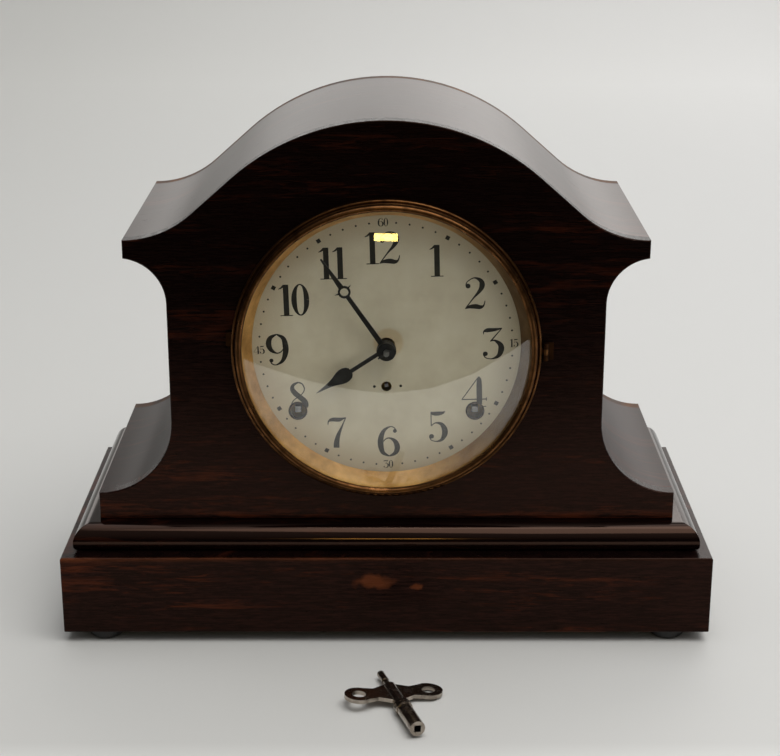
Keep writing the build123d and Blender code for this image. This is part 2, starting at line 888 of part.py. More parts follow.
def ratchet_profile():
    points = []
    for tooth in range(ratchet_teeth):
        start = 360 * tooth / ratchet_teeth
        points += [polar(ratchet_radius, start), polar(ratchet_radius - ratchet_tooth_depth, start)]
    return closed_line(points)


def winding_arbor(place):
    half_square = winding_square / 2
    front_pivot = hypot(half_square, half_square)
    body = rod(place, winding_arbor_radius, layer(end_shake), back_plate_front - end_shake)
    body = body + rod(place, collet_radius, layer(spring_front), layer(spring_front + spring_width))
    body = body + at_place(place, ratchet_profile(), ratchet_front, ratchet_thickness)
    body = body + rod(place, front_pivot, front_plate_front, layer(end_shake))
    body = body + rod(place, winding_back_pivot_radius, back_plate_front - end_shake, back_plate_back)
    square_front = dial_back + winding_end_gap
    square = slab(Pos(*place) * Rectangle(winding_square, winding_square), square_front,
                  front_plate_front - square_front)
    return body + square


def great_wheel(place, mate):
    bore = winding_arbor_radius + running_gap
    profile = crossed_wheel(great_teeth, great_module, bearing(place, mate), bore) - Circle(bore)
    return at_place(place, profile, great_front, great_thickness)


def click(place):
    """A pawl lying on the great wheel's front face, its nose just off the ratchet."""
    pivot = polar(click_pivot_place, click_bearing)
    nose = polar(ratchet_radius + free_gap + click_arm_width / 2, click_bearing - 360 / ratchet_teeth)
    profile = bar(pivot, nose, click_arm_width) + disc(pivot, click_boss_radius)
    profile = profile - Circle(ratchet_radius + free_gap)
    return at_place(place, profile, great_front - ratchet_thickness, ratchet_thickness)


def spiral_arcs(inner, pitch, half_turns):
    """Half circles about two centres in turn, which make an even spiral."""
    step = pitch / 2
    arcs = []
    for index in range(half_turns):
        middle = step * (index % 2)
        radius = inner + step * index
        up = 1 if index % 2 == 0 else -1
        arcs.append(ThreePointArc((middle + up * radius, 0), (middle, up * radius), (middle - up * radius, 0)))
    return arcs


def mainspring(place):
    """A spiral of flat steel strip, from the collet outwards."""
    inner = collet_radius + running_gap
    half_turns = 2 * mainspring_turns
    inside = spiral_arcs(inner, mainspring_pitch, half_turns)
    outside = spiral_arcs(inner + mainspring_thickness, mainspring_pitch, half_turns)
    caps = [Line(inside[0] @ 0, outside[0] @ 0), Line(inside[-1] @ 1, outside[-1] @ 1)]
    strip = make_face(inside + outside + caps)
    return at_place(place, strip, spring_front, spring_width)


def build_winding(nodes, side, place, mate):
    nodes[side + "_winding_arbor"] = winding_arbor(place)
    nodes[side + "_great_wheel"] = great_wheel(place, mate)
    nodes[side + "_click"] = click(place)
    nodes[side + "_mainspring"] = mainspring(place)


# Wheel trains

def second_wheel(place, winding, mate):
    """The wheel after the great wheel, the same on both sides."""
    wheel = crossed_wheel(second_teeth, second_module, bearing(place, mate), arbor_radius)
    leaves = pinion(second_leaves, great_module, gap_phase(second_leaves, bearing(place, winding)))
    return train_wheel(place, wheel, second_wheel_front, leaves, *pinion_span(great_front, great_thickness))


def third_pinion(place, mate):
    return pinion(third_leaves, second_module, gap_phase(third_leaves, bearing(place, mate)))


def center_wheel():
    wheel = crossed_wheel(center_teeth, center_module, bearing(center, fourth), center_arbor_radius)
    solid = at_place(center, wheel, center_wheel_front, wheel_thickness)
    solid = solid + at_place(center, third_pinion(center, time_second),
                             *pinion_span(second_wheel_front, wheel_thickness))
    solid = solid + rod(center, center_arbor_radius, arbor_tip, back_plate_front - end_shake)
    return solid + rod(center, pivot_radius, back_plate_front - end_shake, back_plate_back) - hand_pin_cut()


def fourth_wheel():
    wheel = crossed_wheel(fourth_teeth, fourth_module, bearing(fourth, escape), arbor_radius)
    leaves = pinion(fourth_leaves, center_module, gap_phase(fourth_leaves, bearing(fourth, center)))
    return train_wheel(fourth, wheel, fourth_wheel_front, leaves,
                       *pinion_span(center_wheel_front, wheel_thickness))


def escape_profile():
    root = escape_radius - escape_tooth_depth
    points = []
    for tooth in range(escape_teeth):
        start = 360 * tooth / escape_teeth
        points += [polar(root, start), polar(escape_radius, start + 90 / escape_teeth),
                   polar(root, start + 180 / escape_teeth)]
    window = Circle(rim_share * root) - Circle(hub_share * root)
    spoke = spoke_share * root
    return closed_line(points) - (window - Rectangle(2 * root, spoke) - Rectangle(spoke, 2 * root))


def escape_wheel():
    leaves = pinion(escape_leaves, fourth_module, gap_phase(escape_leaves, bearing(escape, fourth)))
    return train_wheel(escape, escape_profile(), escape_wheel_front, leaves,
                       *pinion_span(fourth_wheel_front, wheel_thickness))


def pin_wheel_solid():
    wheel = crossed_wheel(pin_wheel_teeth, pin_wheel_module, bearing(pin_wheel, warning), arbor_radius)
    solid = train_wheel(pin_wheel, wheel, pin_wheel_front, third_pinion(pin_wheel, strike_second),
                        *pinion_span(second_wheel_front, wheel_thickness))
    for step in range(pin_count):
        place = shifted(pin_wheel, polar(pin_circle_radius, 360 * (step + 0.5) / pin_count))
        solid = solid + rod(place, pin_radius, layer(pin_wheel_front - pin_length), layer(pin_wheel_front))
    return solid


pin_wheel_root = pin_wheel_teeth * pin_wheel_module / 2 - dedendum_share * pin_wheel_module
pin_circle_radius = pin_wheel_root * (1 + rim_share) / 2


def warning_wheel():
    wheel = crossed_wheel(warning_teeth, warning_module, bearing(warning, fly), arbor_radius)
    leaves = pinion(warning_leaves, pin_wheel_module, gap_phase(warning_leaves, bearing(warning, pin_wheel)))
    return train_wheel(warning, wheel, warning_wheel_front, leaves,
                       *pinion_span(pin_wheel_front, wheel_thickness))


def fly_solid():
    leaves = pinion(fly_leaves, warning_module, gap_phase(fly_leaves, bearing(fly, warning)))
    vane = Rectangle(fly_span, fly_thickness) + Circle(2 * arbor_radius)
    solid = arbor(fly) + at_place(fly, leaves, *pinion_span(warning_wheel_front, wheel_thickness))
    return solid + at_place(fly, vane, fly_front, fly_depth)


def build_trains(nodes):
    build_winding(nodes, "time", time_winding, time_second)
    build_winding(nodes, "strike", strike_winding, strike_second)
    nodes["time_second_wheel"] = second_wheel(time_second, time_winding, center)
    nodes["center_wheel"] = center_wheel()
    nodes["fourth_wheel"] = fourth_wheel()
    nodes["escape_wheel"] = escape_wheel()
    nodes["strike_second_wheel"] = second_wheel(strike_second, strike_winding, pin_wheel)
    nodes["pin_wheel"] = pin_wheel_solid()
    nodes["warning_wheel"] = warning_wheel()
    nodes["fly"] = fly_solid()


# Motion work behind the dial, and the hands

cannon_radius = center_arbor_radius + running_gap + cannon_wall
hour_pipe_bore = cannon_radius + running_gap
hour_pipe_radius = hour_pipe_bore + hour_pipe_wall
first_back = front_plate_front - motion_first_gap
first_front = first_back - motion_wheel_thickness
second_back = first_front - motion_second_gap
second_front = second_back - motion_wheel_thickness
hand_pin_y = (minute_hub_front + arbor_tip) / 2


def cannon_pinion():
    teeth = pinion(cannon_leaves, cannon_module, gap_phase(cannon_leaves, bearing(center, minute_stud)))
    bore = Circle(center_arbor_radius + running_gap)
    gear = slab(teeth - bore, first_front, motion_wheel_thickness)
    pipe_front = minute_hand_front + running_gap
    return gear + slab(Circle(cannon_radius) - bore, pipe_front, first_back - pipe_front)


def minute_wheel():
    bore = Circle(minute_stud_radius + running_gap)
    wheel = crossed_wheel(minute_wheel_teeth, cannon_module, bearing(minute_stud, center), minute_stud_radius)
    leaves = pinion(minute_leaves, hour_module, gap_phase(minute_leaves, bearing(minute_stud, center)))
    solid = slab(Pos(*minute_stud) * (wheel - bore), first_front, motion_wheel_thickness)
    return solid + slab(Pos(*minute_stud) * (leaves - bore), second_front, first_front - second_front)


def hour_wheel():
    bore = Circle(hour_pipe_bore)
    wheel = crossed_wheel(hour_teeth, hour_module, bearing(center, minute_stud), hour_pipe_radius)
    solid = slab(wheel - bore, second_front, motion_wheel_thickness)
    return solid + slab(Circle(hour_pipe_radius) - bore, hour_hand_front, second_back - hour_hand_front)


def hand_up(profile, clock_degrees, front, thickness):
    """A hand drawn pointing up, turned clockwise."""
    return slab(Rot(0, 0, -clock_degrees) * profile, front, thickness)


def hour_hand():
    """A rod with a spade whose sides run hollow to the point."""
    half = hour_spade_width / 2
    reach = hour_hand_length - hour_spade_start
    right_side = [(half * across, hour_spade_start + reach * along) for across, along in spade_shares]
    left_side = [(-x, z) for x, z in reversed(right_side)]
    spade = closed_line([(0, hour_spade_start)] + right_side + [(0, hour_hand_length)] + left_side)
    rod_end = (0, hour_spade_start + reach * spade_root_share)
    profile = Circle(hour_hub_radius) + bar(center, rod_end, hour_rod_width) + spade
    return hand_up(profile - Circle(hour_pipe_radius + running_gap), hour_angle_degrees,
                   hour_hand_front, hand_thickness)


spade_shares = ((0.5, 0.02), (0.8, 0.07), (0.97, 0.15), (1.0, 0.24), (0.9, 0.33), (0.7, 0.42), (0.5, 0.51),
                (0.34, 0.62), (0.21, 0.75), (0.11, 0.88))
spade_root_share = 0.2


def minute_hand():
    ring = disc((0, minute_ring_place), minute_ring_radius)
    ring_hole = disc((0, minute_ring_place), minute_ring_bore_radius)
    rod_half = minute_rod_width / 2
    rod_face = closed_line([(-rod_half * minute_taper_share, 0), (rod_half * minute_taper_share, 0),
                            (rod_half, minute_ring_place), (-rod_half, minute_ring_place)])
    point = closed_line([(-rod_half * minute_taper_share, minute_ring_place + minute_ring_bore_radius),
                         (rod_half * minute_taper_share, minute_ring_place + minute_ring_bore_radius),
                         (rod_half * minute_tip_share, minute_hand_length),
                         (-rod_half * minute_tip_share, minute_hand_length)])
    horns = closed_line([(-minute_horn_reach, minute_ring_place + minute_horn_width),
                         (0, minute_ring_place - minute_horn_width),
                         (minute_horn_reach, minute_ring_place + minute_horn_width),
                         (0, minute_ring_place + minute_horn_width / 2)])
    profile = (Circle(minute_hub_radius) + rod_face + ring + horns + point) - ring_hole
    bore = Circle(cannon_radius + running_gap)
    flat = hand_up(profile - bore, minute_angle_degrees, minute_hand_front, hand_thickness)
    crown = Circle(minute_hub_radius * hub_crown_share) - Circle(center_arbor_radius + running_gap)
    return flat + slab(crown, minute_hub_front, minute_hub_thickness)


minute_taper_share = 1.35
minute_tip_share = 0.4
hub_crown_share = 0.94


def pin_along(radius, length, offset):
    """A cylinder across the centre arbor, at right angles to the hour hand's way."""
    way = radians(hand_pin_degrees)
    direction = (cos(way), 0, sin(way))
    middle = Vector(0, hand_pin_y, 0) + Vector(*direction) * offset
    return Plane(origin=middle, z_dir=direction) * Cylinder(radius, length)


hand_pin_degrees = 215.0
hand_pin_offset_share = 0.2


def hand_pin_cut():
    return pin_along(hand_pin_radius, 2 * hand_pin_length, 0)


def hand_pin():
    return pin_along(hand_pin_radius, hand_pin_length, hand_pin_offset_share * hand_pin_length)


def build_motion_work(nodes):
    nodes["cannon_pinion"] = cannon_pinion()
    nodes["minute_wheel"] = minute_wheel()
    nodes["hour_wheel"] = hour_wheel()
    nodes["hour_hand"] = hour_hand()
    nodes["minute_hand"] = minute_hand()
    nodes["hand_pin"] = hand_pin()


def build_dial(nodes):
    sheet = Circle(dial_radius) - Circle(dial_centre_hole_radius) - disc(regulator, regulator_hole_radius)
    sleeve_radius = eyelet_bore_radius + eyelet_sleeve
    eyelets = []
    for place in (time_winding, strike_winding):
        sheet = sheet - disc(place, sleeve_radius)
        bore = disc(place, eyelet_bore_radius)
        flange = slab(disc(place, eyelet_radius) - bore, dial_front - eyelet_flange, eyelet_flange)
        eyelets.append(flange + slab(disc(place, sleeve_radius) - bore, dial_front, dial_thickness))
    nodes["dial_plate"] = slab(sheet, dial_front, dial_thickness)
    nodes["dial_eyelets"] = Compound(children=eyelets)


# Movement frame

def plate_outline():
    width = 2 * plate_half_width
    height = plate_top + plate_bottom
    sheet = Pos(0, (plate_top - plate_bottom) / 2) * Rectangle(width, height)
    return chamfer(sheet.vertices(), plate_chamfer)


def pierced(profile, holes):
    for place, radius in holes:
        profile = profile - disc(place, radius)
    return profile


def build_frame(nodes):
    small_pivots = [time_second, fourth, escape, strike_second, pin_wheel, warning, fly]
    front_holes = [(place, pivot_radius + running_gap) for place in small_pivots + [verge_pivot]]
    front_holes += [(center, center_arbor_radius + running_gap), (regulator, adjuster_radius + running_gap)]
    square_radius = hypot(winding_square / 2, winding_square / 2)
    front_holes += [(place, square_radius + running_gap) for place in (time_winding, strike_winding)]
    front_holes += [(hammer, pivot_radius + running_gap)]
    back_holes = [(place, pivot_radius + running_gap) for place in small_pivots + [center]]
    back_holes += [(verge_pivot, arbor_radius + running_gap), (regulator, adjuster_radius + running_gap)]
    back_holes += [(place, winding_back_pivot_radius + running_gap) for place in (time_winding, strike_winding)]
    back_holes += [(hammer, hammer_arbor_radius + running_gap)]
    pillar_holes = [(place, pillar_end_radius) for place in pillar_places]
    front = slab(pierced(plate_outline(), front_holes + pillar_holes), front_plate_front, plate_thickness)
    nodes["front_plate"] = front + rod(minute_stud, minute_stud_radius, second_front, front_plate_front)
    back = slab(pierced(plate_outline(), back_holes + pillar_holes), back_plate_front, plate_thickness)
    nodes["back_plate"] = back + slide_guide(lower_guide_rise) + slide_guide(upper_guide_rise)

    pillars = []
    nuts = []
    for place in pillar_places:
        shaft = rod(place, pillar_radius, front_plate_back, back_plate_front)
        stud_end = back_plate_back + nut_height
        pillars.append(shaft + rod(place, pillar_end_radius, front_plate_front, stud_end))
        nut = RegularPolygon(nut_radius, 6) - Circle(pillar_end_radius)
        nuts.append(slab(Pos(*place) * nut, back_plate_back, nut_height))
    nodes["plate_pillars"] = Compound(children=pillars)
    nodes["pillar_nuts"] = Compound(children=nuts)
    nodes["movement_brackets"] = Compound(children=[movement_bracket(place) for place in bracket_places])


def movement_bracket(place):
    """A strap on the plate's corner with a post to the back of the front board."""
    side = 1 if place[0] > 0 else -1
    up = 1 if place[1] > 0 else -1
    height = plate_top if up > 0 else plate_bottom
    root = (side * (plate_half_width - bracket_root_inset), up * (height - bracket_root_inset))
    strap = bar(root, place, bracket_width) + disc(place, bracket_width / 2) + disc(root, bracket_width / 2)
    solid = slab(strap, front_plate_front - bracket_thickness, bracket_thickness)
    solid = solid + rod(place, bracket_post_radius, board_back, front_plate_front)
    return solid - rod(place, screw_shank_radius, board_back, front_plate_front)


# Escapement, suspension, pendulum and rate adjuster

def verge():
    """Anchor, arbor and crutch. The pallets stand off the teeth by the width of the swing."""
    to_verge = bearing(escape, verge_pivot)
    lift = verge_distance * sin(radians(swing_degrees))
    pallet_place = escape_radius + lift + free_gap + pallet_width / 2
    profile = disc(verge_pivot, verge_hub_radius)
    for side in (-1, 1):
        nose = shifted(escape, polar(pallet_place, to_verge + side * pallet_half_angle))
        profile = profile + bar(verge_pivot, nose, pallet_width) + disc(nose, pallet_width / 2)
    solid = slab(profile, layer(escape_wheel_front), wheel_thickness)
    solid = solid + rod(verge_pivot, arbor_radius, layer(end_shake), back_plate_back + crutch_stand_off)
    solid = solid + rod(verge_pivot, pivot_radius, front_plate_front, layer(end_shake))
    wire_y = back_plate_back + crutch_stand_off
    solid = solid + rod(verge_pivot, verge_hub_radius, wire_y - crutch_wire_radius, wire_y + crutch_wire_radius)
    low = shifted(verge_pivot, (0, -crutch_length))
    wire = bar(low, verge_pivot, 2 * crutch_wire_radius)
    solid = solid + slab(wire, wire_y - crutch_wire_radius, 2 * crutch_wire_radius)
    spread = pendulum_wire_radius + crutch_gap + crutch_wire_radius
    cross = Pos(*low) * Rectangle(2 * (spread + crutch_wire_radius), 2 * crutch_wire_radius)
    solid = solid + slab(cross, wire_y - crutch_wire_radius, 2 * crutch_wire_radius)
    prong = Rectangle(2 * crutch_wire_radius, 2 * crutch_wire_radius)
    for side in (-1, 1):
        place = shifted(low, (side * spread, 0))
        solid = solid + slab(Pos(*place) * prong, wire_y, pendulum_y + 2 * pendulum_wire_radius - wire_y)
    return solid


slide_front = back_plate_back + slide_stand_off
slide_back = slide_front + slide_thickness
adjuster_pitch = adjuster_leaves * adjuster_module / 2
rack_root = adjuster_pitch + dedendum_share * adjuster_module
slide_right = rack_root + slide_width
head_bottom = verge_pivot[1] + verge_hub_radius + slide_travel + free_gap
head_top = head_bottom + head_height


def upright(x_span, z_span):
    return (Pos((x_span[0] + x_span[1]) / 2, (z_span[0] + z_span[1]) / 2)
            * Rectangle(x_span[1] - x_span[0], z_span[1] - z_span[0]))


def rack_profile():
    """Straight-sided teeth on the slide's left edge, with a gap level with the adjuster."""
    pitch = pi * adjuster_module
    half = pitch * (1 - tooth_thin_share) / 4
    depth = (dedendum_share + pinion_addendum_share) * adjuster_module
    tip = rack_root - depth
    narrow = half - pinion_addendum_share * adjuster_module * tan(pressure_angle)
    wide = half + dedendum_share * adjuster_module * tan(pressure_angle)
    profile = upright((rack_root, slide_right), (regulator[1] - slide_tail, head_top))
    for step in range(rack_tooth_count):
        z = regulator[1] + (step - (rack_tooth_count - 1) / 2 + 0.5) * pitch
        tooth = closed_line([(rack_root, z - wide), (tip, z - narrow), (tip, z + narrow), (rack_root, z + wide)])
        profile = profile + tooth
    return profile


def suspension_slide():
    bar_solid = slab(rack_profile(), slide_front, slide_thickness)
    head = slab(upright((-head_reach, slide_right), (head_bottom, head_top)), slide_front,
                pendulum_y + suspension_width / 2 + suspension_leaf - slide_front)
    return bar_solid + head - suspension_spring()


def suspension_spring():
    low = verge_pivot[1] - spring_clear_length / 2 - spring_clamp_length
    high = head_bottom + spring_clamp_length
    half_leaf = suspension_leaf / 2
    return slab(upright((-half_leaf, half_leaf), (low, high)), pendulum_y - suspension_width / 2, suspension_width)


def slide_guide(rise):
    """A staple on the back plate round the slide."""
    left, right = rack_root - slide_gap, slide_right + slide_gap
    low, high = rise - guide_height / 2, rise + guide_height / 2
    outer_back = slide_back + slide_gap + guide_wall
    outer = slab(upright((left - guide_wall, right + guide_wall), (low, high)), back_plate_back,
                 outer_back - back_plate_back)
    slot = slab(upright((left, right), (low - cut_overrun, high + cut_overrun)), slide_front - slide_gap,
                slide_thickness + 2 * slide_gap)
    return outer - slot


def rate_adjuster():
    teeth = Pos(*regulator) * pinion(adjuster_leaves, adjuster_module, 0)
    gear_front = back_plate_back + adjuster_stand_off
    solid = rod(regulator, adjuster_radius, front_plate_front - motion_first_gap, slide_back)
    solid = solid + slab(teeth, gear_front, slide_back - gear_front)
    square_front = dial_back + winding_end_gap
    square = Pos(*regulator) * Rectangle(adjuster_square, adjuster_square)
    return solid + slab(square, square_front, front_plate_front - square_front)


def pendulum_rod():
    """A clip on the suspension spring's lower end, and the wire down into the bob."""
    clip_top = verge_pivot[1] - spring_clear_length / 2
    clip_bottom = clip_top - clip_height
    bob_top = verge_pivot[1] - pendulum_length + bob_radius
    half_depth = suspension_width / 2 + suspension_leaf
    clip = slab(upright((-clip_half_width, clip_half_width), (clip_bottom, clip_top)), pendulum_y - half_depth,
                2 * half_depth)
    wire = Pos(0, pendulum_y, bob_top) * Cylinder(pendulum_wire_radius, clip_bottom - bob_top,
                                                  align=(Align.CENTER, Align.CENTER, Align.MIN))
    return clip - suspension_spring() + wire


def pendulum_bob():
    """A flat lens of brass with a rounded rim, its face towards the back."""
    half = bob_thickness / 2
    half_edge = bob_edge / 2
    cap_mid = half_edge + dome_height(bob_radius * bob_dome_share, bob_radius, half - half_edge)
    profile = make_face([
        Line((0, pendulum_y - half), (0, pendulum_y + half)),
        ThreePointArc((0, pendulum_y + half), (bob_radius * bob_dome_share, pendulum_y + cap_mid),
                      (bob_radius, pendulum_y + half_edge)),
        Line((bob_radius, pendulum_y + half_edge), (bob_radius, pendulum_y - half_edge)),
        ThreePointArc((bob_radius, pendulum_y - half_edge), (bob_radius * bob_dome_share, pendulum_y - cap_mid),
                      (0, pendulum_y - half)),
    ])
    solid = turned(profile, (0, verge_pivot[1] - pendulum_length))
    top = verge_pivot[1] - pendulum_length + bob_radius
    flat = block((-bob_radius, bob_radius), (pendulum_y - half, pendulum_y + half),
                 (top - bob_flat_share * bob_radius, top + cut_overrun))
    seat_depth = bob_flat_share * bob_radius
    peg = Pos(0, pendulum_y, top - 2 * seat_depth) * Cylinder(
        2 * pendulum_wire_radius, 2 * seat_depth, align=(Align.CENTER, Align.CENTER, Align.MIN))
    return solid - flat + peg


bob_dome_share = 0.7
bob_flat_share = 0.1


def build_escapement(nodes):
    nodes["verge"] = verge()
    nodes["suspension_slide"] = suspension_slide()
    nodes["suspension_spring"] = suspension_spring()
    nodes["rate_adjuster"] = rate_adjuster()
    nodes["pendulum_rod"] = pendulum_rod()
    nodes["pendulum_bob"] = pendulum_bob()


# Hammer and gong, with heights from the floor

gong_z = body_base + gong_rise
gong_outer = gong_inner_radius + gong_pitch * gong_turns
hammer_z = hammer[1] + dial_z


def hammer_head_place():
    """The middle of the head, just off the outer turn."""
    reach = gong_outer + gong_wire_radius + hammer_gap + hammer_head_length / 2
    return shifted((gong_x + gong_pitch / 2, gong_z), polar(reach, hammer_place_degrees))


def hammer_solid():
    """Arbor, tail and arm with the head, at its place from the floor."""
    place = (hammer[0], hammer_z)
    lifted_pin_wheel = shifted(pin_wheel, (0, dial_z))
    solid = rod(place, hammer_arbor_radius, layer(end_shake), gong_y + hammer_arm_radius)
    solid = solid + rod(place, pivot_radius, front_plate_front, layer(end_shake))
    tail_reach = hammer_distance - pin_circle_radius - pin_radius - free_gap
    tail_end = shifted(place, polar(tail_reach, bearing(place, lifted_pin_wheel)))
    solid = solid + slab(bar(place, tail_end, hammer_tail_width), layer(hammer_tail_front), hammer_tail_thickness)
    head = hammer_head_place()
    arm_length = hypot(head[0] - place[0], head[1] - place[1])
    start = Vector(place[0], gong_y, place[1])
    way = Vector(head[0] - place[0], 0, head[1] - place[1])
    arm = Plane(origin=start, z_dir=way) * Cylinder(hammer_arm_radius, arm_length,
                                                    align=(Align.CENTER, Align.CENTER, Align.MIN))
    towards = Vector(gong_x + gong_pitch / 2 - head[0], 0, gong_z - head[1])
    knob = Plane(origin=(head[0], gong_y, head[1]), z_dir=towards) * Cylinder(hammer_head_radius, hammer_head_length)
    return solid + arm + knob


def gong_path():
    arcs = spiral_arcs(gong_inner_radius, gong_pitch, 2 * gong_turns)
    return Plane.XZ.offset(-gong_y) * Pos(gong_x, gong_z) * Wire(arcs)


def gong_coil():
    path = gong_path()
    section = Plane(origin=path @ 0, z_dir=path % 0) * Circle(gong_wire_radius)
    coil = sweep(section, path=path)
    print("gong gap between turns", round(gong_pitch - 2 * gong_wire_radius, 3))
    return coil


def gong_stand():
    """A cast foot with a post behind the coil and a block under the coil's inner end."""
    end_x = gong_x + gong_inner_radius
    post_front = gong_y + gong_post_gap
    post_back = post_front + gong_post_depth
    across = (end_x - gong_block_half, end_x + gong_block_half)
    solid = block(across, (gong_y - gong_block_half, post_back), (gong_z - gong_block_height, gong_z))
    solid = solid + block(across, (post_front, post_back), (body_base, gong_z - gong_block_height))
    middle_y = (post_front + post_back) / 2
    foot_block = block((end_x - gong_base_width / 2, end_x + gong_base_width / 2),
                       (middle_y - gong_base_depth / 2, middle_y + gong_base_depth / 2),
                       (body_base, body_base + gong_base_height))
    return solid + foot_block


# Winding key

def key_wings():
    """Two wings with rounded ends and a hole each, drawn flat."""
    half_span = key_wing_span / 2
    tip_radius = key_wing_height / 2
    tip_centre = half_span - tip_radius
    neck = half_span * key_wing_neck_share
    half_root = key_wing_root_height / 2
    half_neck = key_wing_neck_height / 2
    outline = []
    for side in (-1, 1):
        points = [(0, half_root), (side * neck, half_neck), (side * tip_centre, tip_radius),
                  (side * tip_centre, -tip_radius), (side * neck, -half_neck), (0, -half_root)]
        outline.append(closed_line(points) + Pos(side * tip_centre, 0) * Circle(tip_radius))
    plate = outline[0] + outline[1]
    for side in (-1, 1):
        plate = plate - Pos(side * tip_centre, 0) * Circle(key_wing_hole_radius)
    return Pos(0, 0, -key_wing_thickness / 2) * extrude(plate, amount=key_wing_thickness)


def key_shaft():
    """The two barrels on one axis along Y, the large one towards -Y."""
    small_end = key_length * key_wing_share
    large_end = -key_length * (1 - key_wing_share)
    barrel_start = large_end + key_barrel_length
    small_start = small_end - key_small_length

    def tube(radius, start, end):
        return Plane(origin=(0, start, 0), z_dir=(0, 1, 0)) * Cylinder(
            radius, end - start, align=(Align.CENTER, Align.CENTER, Align.MIN))

    solid = tube(key_barrel_radius, large_end, barrel_start)
    solid = solid + tube(key_waist_radius, barrel_start, key_wing_height / 2)
    solid = solid + tube(key_small_neck_radius, key_wing_height / 2, small_start)
    solid = solid + tube(key_small_radius, small_start, small_end)
    for index in range(3):
        middle = barrel_start + key_collar_width / 2 + index * key_collar_pitch
        solid = solid + tube(key_collar_radius, middle - key_collar_width / 2, middle + key_collar_width / 2)
    half_socket = key_socket / 2
    half_small = key_small_socket / 2
    socket = block((-half_socket, half_socket), (large_end - cut_overrun, large_end + key_socket_depth),
                   (-half_socket, half_socket))
    small_socket = block((-half_small, half_small), (small_end - key_small_depth, small_end + cut_overrun),
                         (-half_small, half_small))
    return solid, socket + small_socket


def winding_key():
    """The key laid down on its barrels, rolled until its right wing meets the floor."""
    shaft, sockets = key_shaft()
    solid = shaft + key_wings() - sockets
    drop = key_collar_radius - key_small_radius
    pitch = degrees(asin(drop / key_length))
    half_span = key_wing_span / 2
    roll = degrees(asin((key_collar_radius - key_wing_thickness) / half_span))
    laid = Rot(0, 0, key_yaw_degrees) * Rot(-pitch, 0, 0) * Rot(0, roll, 0) * solid
    low = laid.bounding_box().min.Z
    return Pos(key_x, plinth_front - key_ahead, -low) * laid


def main():
    os.makedirs("parts", exist_ok=True)
    nodes = {}
    build_case(nodes)
    build_bezel_and_door(nodes)
    inner = {}
    build_dial(inner)
    build_frame(inner)
    build_trains(inner)
    build_motion_work(inner)
    build_escapement(inner)
    for name, shape in inner.items():
        nodes[name] = Pos(0, 0, dial_z) * shape
    nodes["hammer"] = hammer_solid()
    nodes["gong_coil"] = gong_coil()
    nodes["gong_stand"] = gong_stand()
    nodes["winding_key"] = winding_key()
    for name, shape in nodes.items():
        export_step(shape, f"parts/{name}.step")


main()
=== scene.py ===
import json
import math

import bmesh
import bpy
from mathutils import Matrix, Vector


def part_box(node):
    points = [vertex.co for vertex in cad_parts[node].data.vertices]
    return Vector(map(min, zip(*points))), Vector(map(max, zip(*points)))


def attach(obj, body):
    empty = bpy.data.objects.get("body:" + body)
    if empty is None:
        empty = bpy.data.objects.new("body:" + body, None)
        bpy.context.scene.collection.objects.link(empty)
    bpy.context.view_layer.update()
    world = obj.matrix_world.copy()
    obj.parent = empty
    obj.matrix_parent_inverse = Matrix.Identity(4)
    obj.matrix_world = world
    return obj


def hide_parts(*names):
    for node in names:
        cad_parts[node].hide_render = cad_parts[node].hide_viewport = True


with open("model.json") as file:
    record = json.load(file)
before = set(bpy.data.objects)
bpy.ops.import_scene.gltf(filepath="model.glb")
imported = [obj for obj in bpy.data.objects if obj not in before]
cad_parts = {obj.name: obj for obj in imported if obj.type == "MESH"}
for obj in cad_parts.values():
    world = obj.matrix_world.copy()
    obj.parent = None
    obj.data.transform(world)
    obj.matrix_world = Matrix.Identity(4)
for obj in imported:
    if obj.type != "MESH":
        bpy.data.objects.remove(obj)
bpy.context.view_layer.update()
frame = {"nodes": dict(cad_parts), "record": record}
nodes = frame["nodes"]
mm = 0.001

# Where the dial and its openings are, from the frame
dial_low, dial_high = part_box("dial_plate")
dial_centre = (dial_low + dial_high) / 2
dial_front = dial_low.y
eyelet_low, eyelet_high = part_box("dial_eyelets")
eyelet_radius = (eyelet_high.z - eyelet_low.z) / 2
eyelet_spread = eyelet_high.x - eyelet_radius
eyelet_height = (eyelet_low.z + eyelet_high.z) / 2
plinth_low, plinth_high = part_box("plinth_front_rail")

glass_thickness = 1.7 * mm
glass_flange = 1.6 * mm

# Print on the dial
ink_depth = 0.05 * mm
dial_turn = math.radians(1.5)
hour_ring = 57.0 * mm
hour_height = 18.3 * mm
astray = {1: (0.3, -0.8), 2: (0.4, 0.9), 3: (2.7, 0.0), 4: (-0.7, 0.3), 5: (-0.4, 0.8), 6: (-0.2, 0.2), 7: (-0.7, -1.3),
          8: (-0.5, -0.3), 9: (-3.9, -0.5), 10: (-1.0, -0.4), 11: (0.2, -0.8), 12: (-0.7, -0.5)}
minute_ring = 70.7 * mm
minute_dot = 1.15 * mm
five_minute_square = 2.3 * mm
quarter_height = 4.7 * mm
print_shift = -0.2 * mm
rate_mark = 8.0 * mm
rate_marks = [(-7.4 * mm, -23.6 * mm), (7.4 * mm, -23.6 * mm)]

# Rubbed places on the front of the plinth: middle across and up, half width, half height
rubbed_places = [(-7.0 * mm, 38.0 * mm, 13.0 * mm, 5.0 * mm), (18.0 * mm, 35.0 * mm, 4.0 * mm, 2.4 * mm)]


def linear(code):
    """A hex colour as seen on a screen, as the linear colour that Blender wants."""
    shares = [int(code[i:i + 2], 16) / 255 for i in (1, 3, 5)]
    return [s / 12.92 if s <= 0.04045 else ((s + 0.055) / 1.055) ** 2.4 for s in shares] + [1.0]


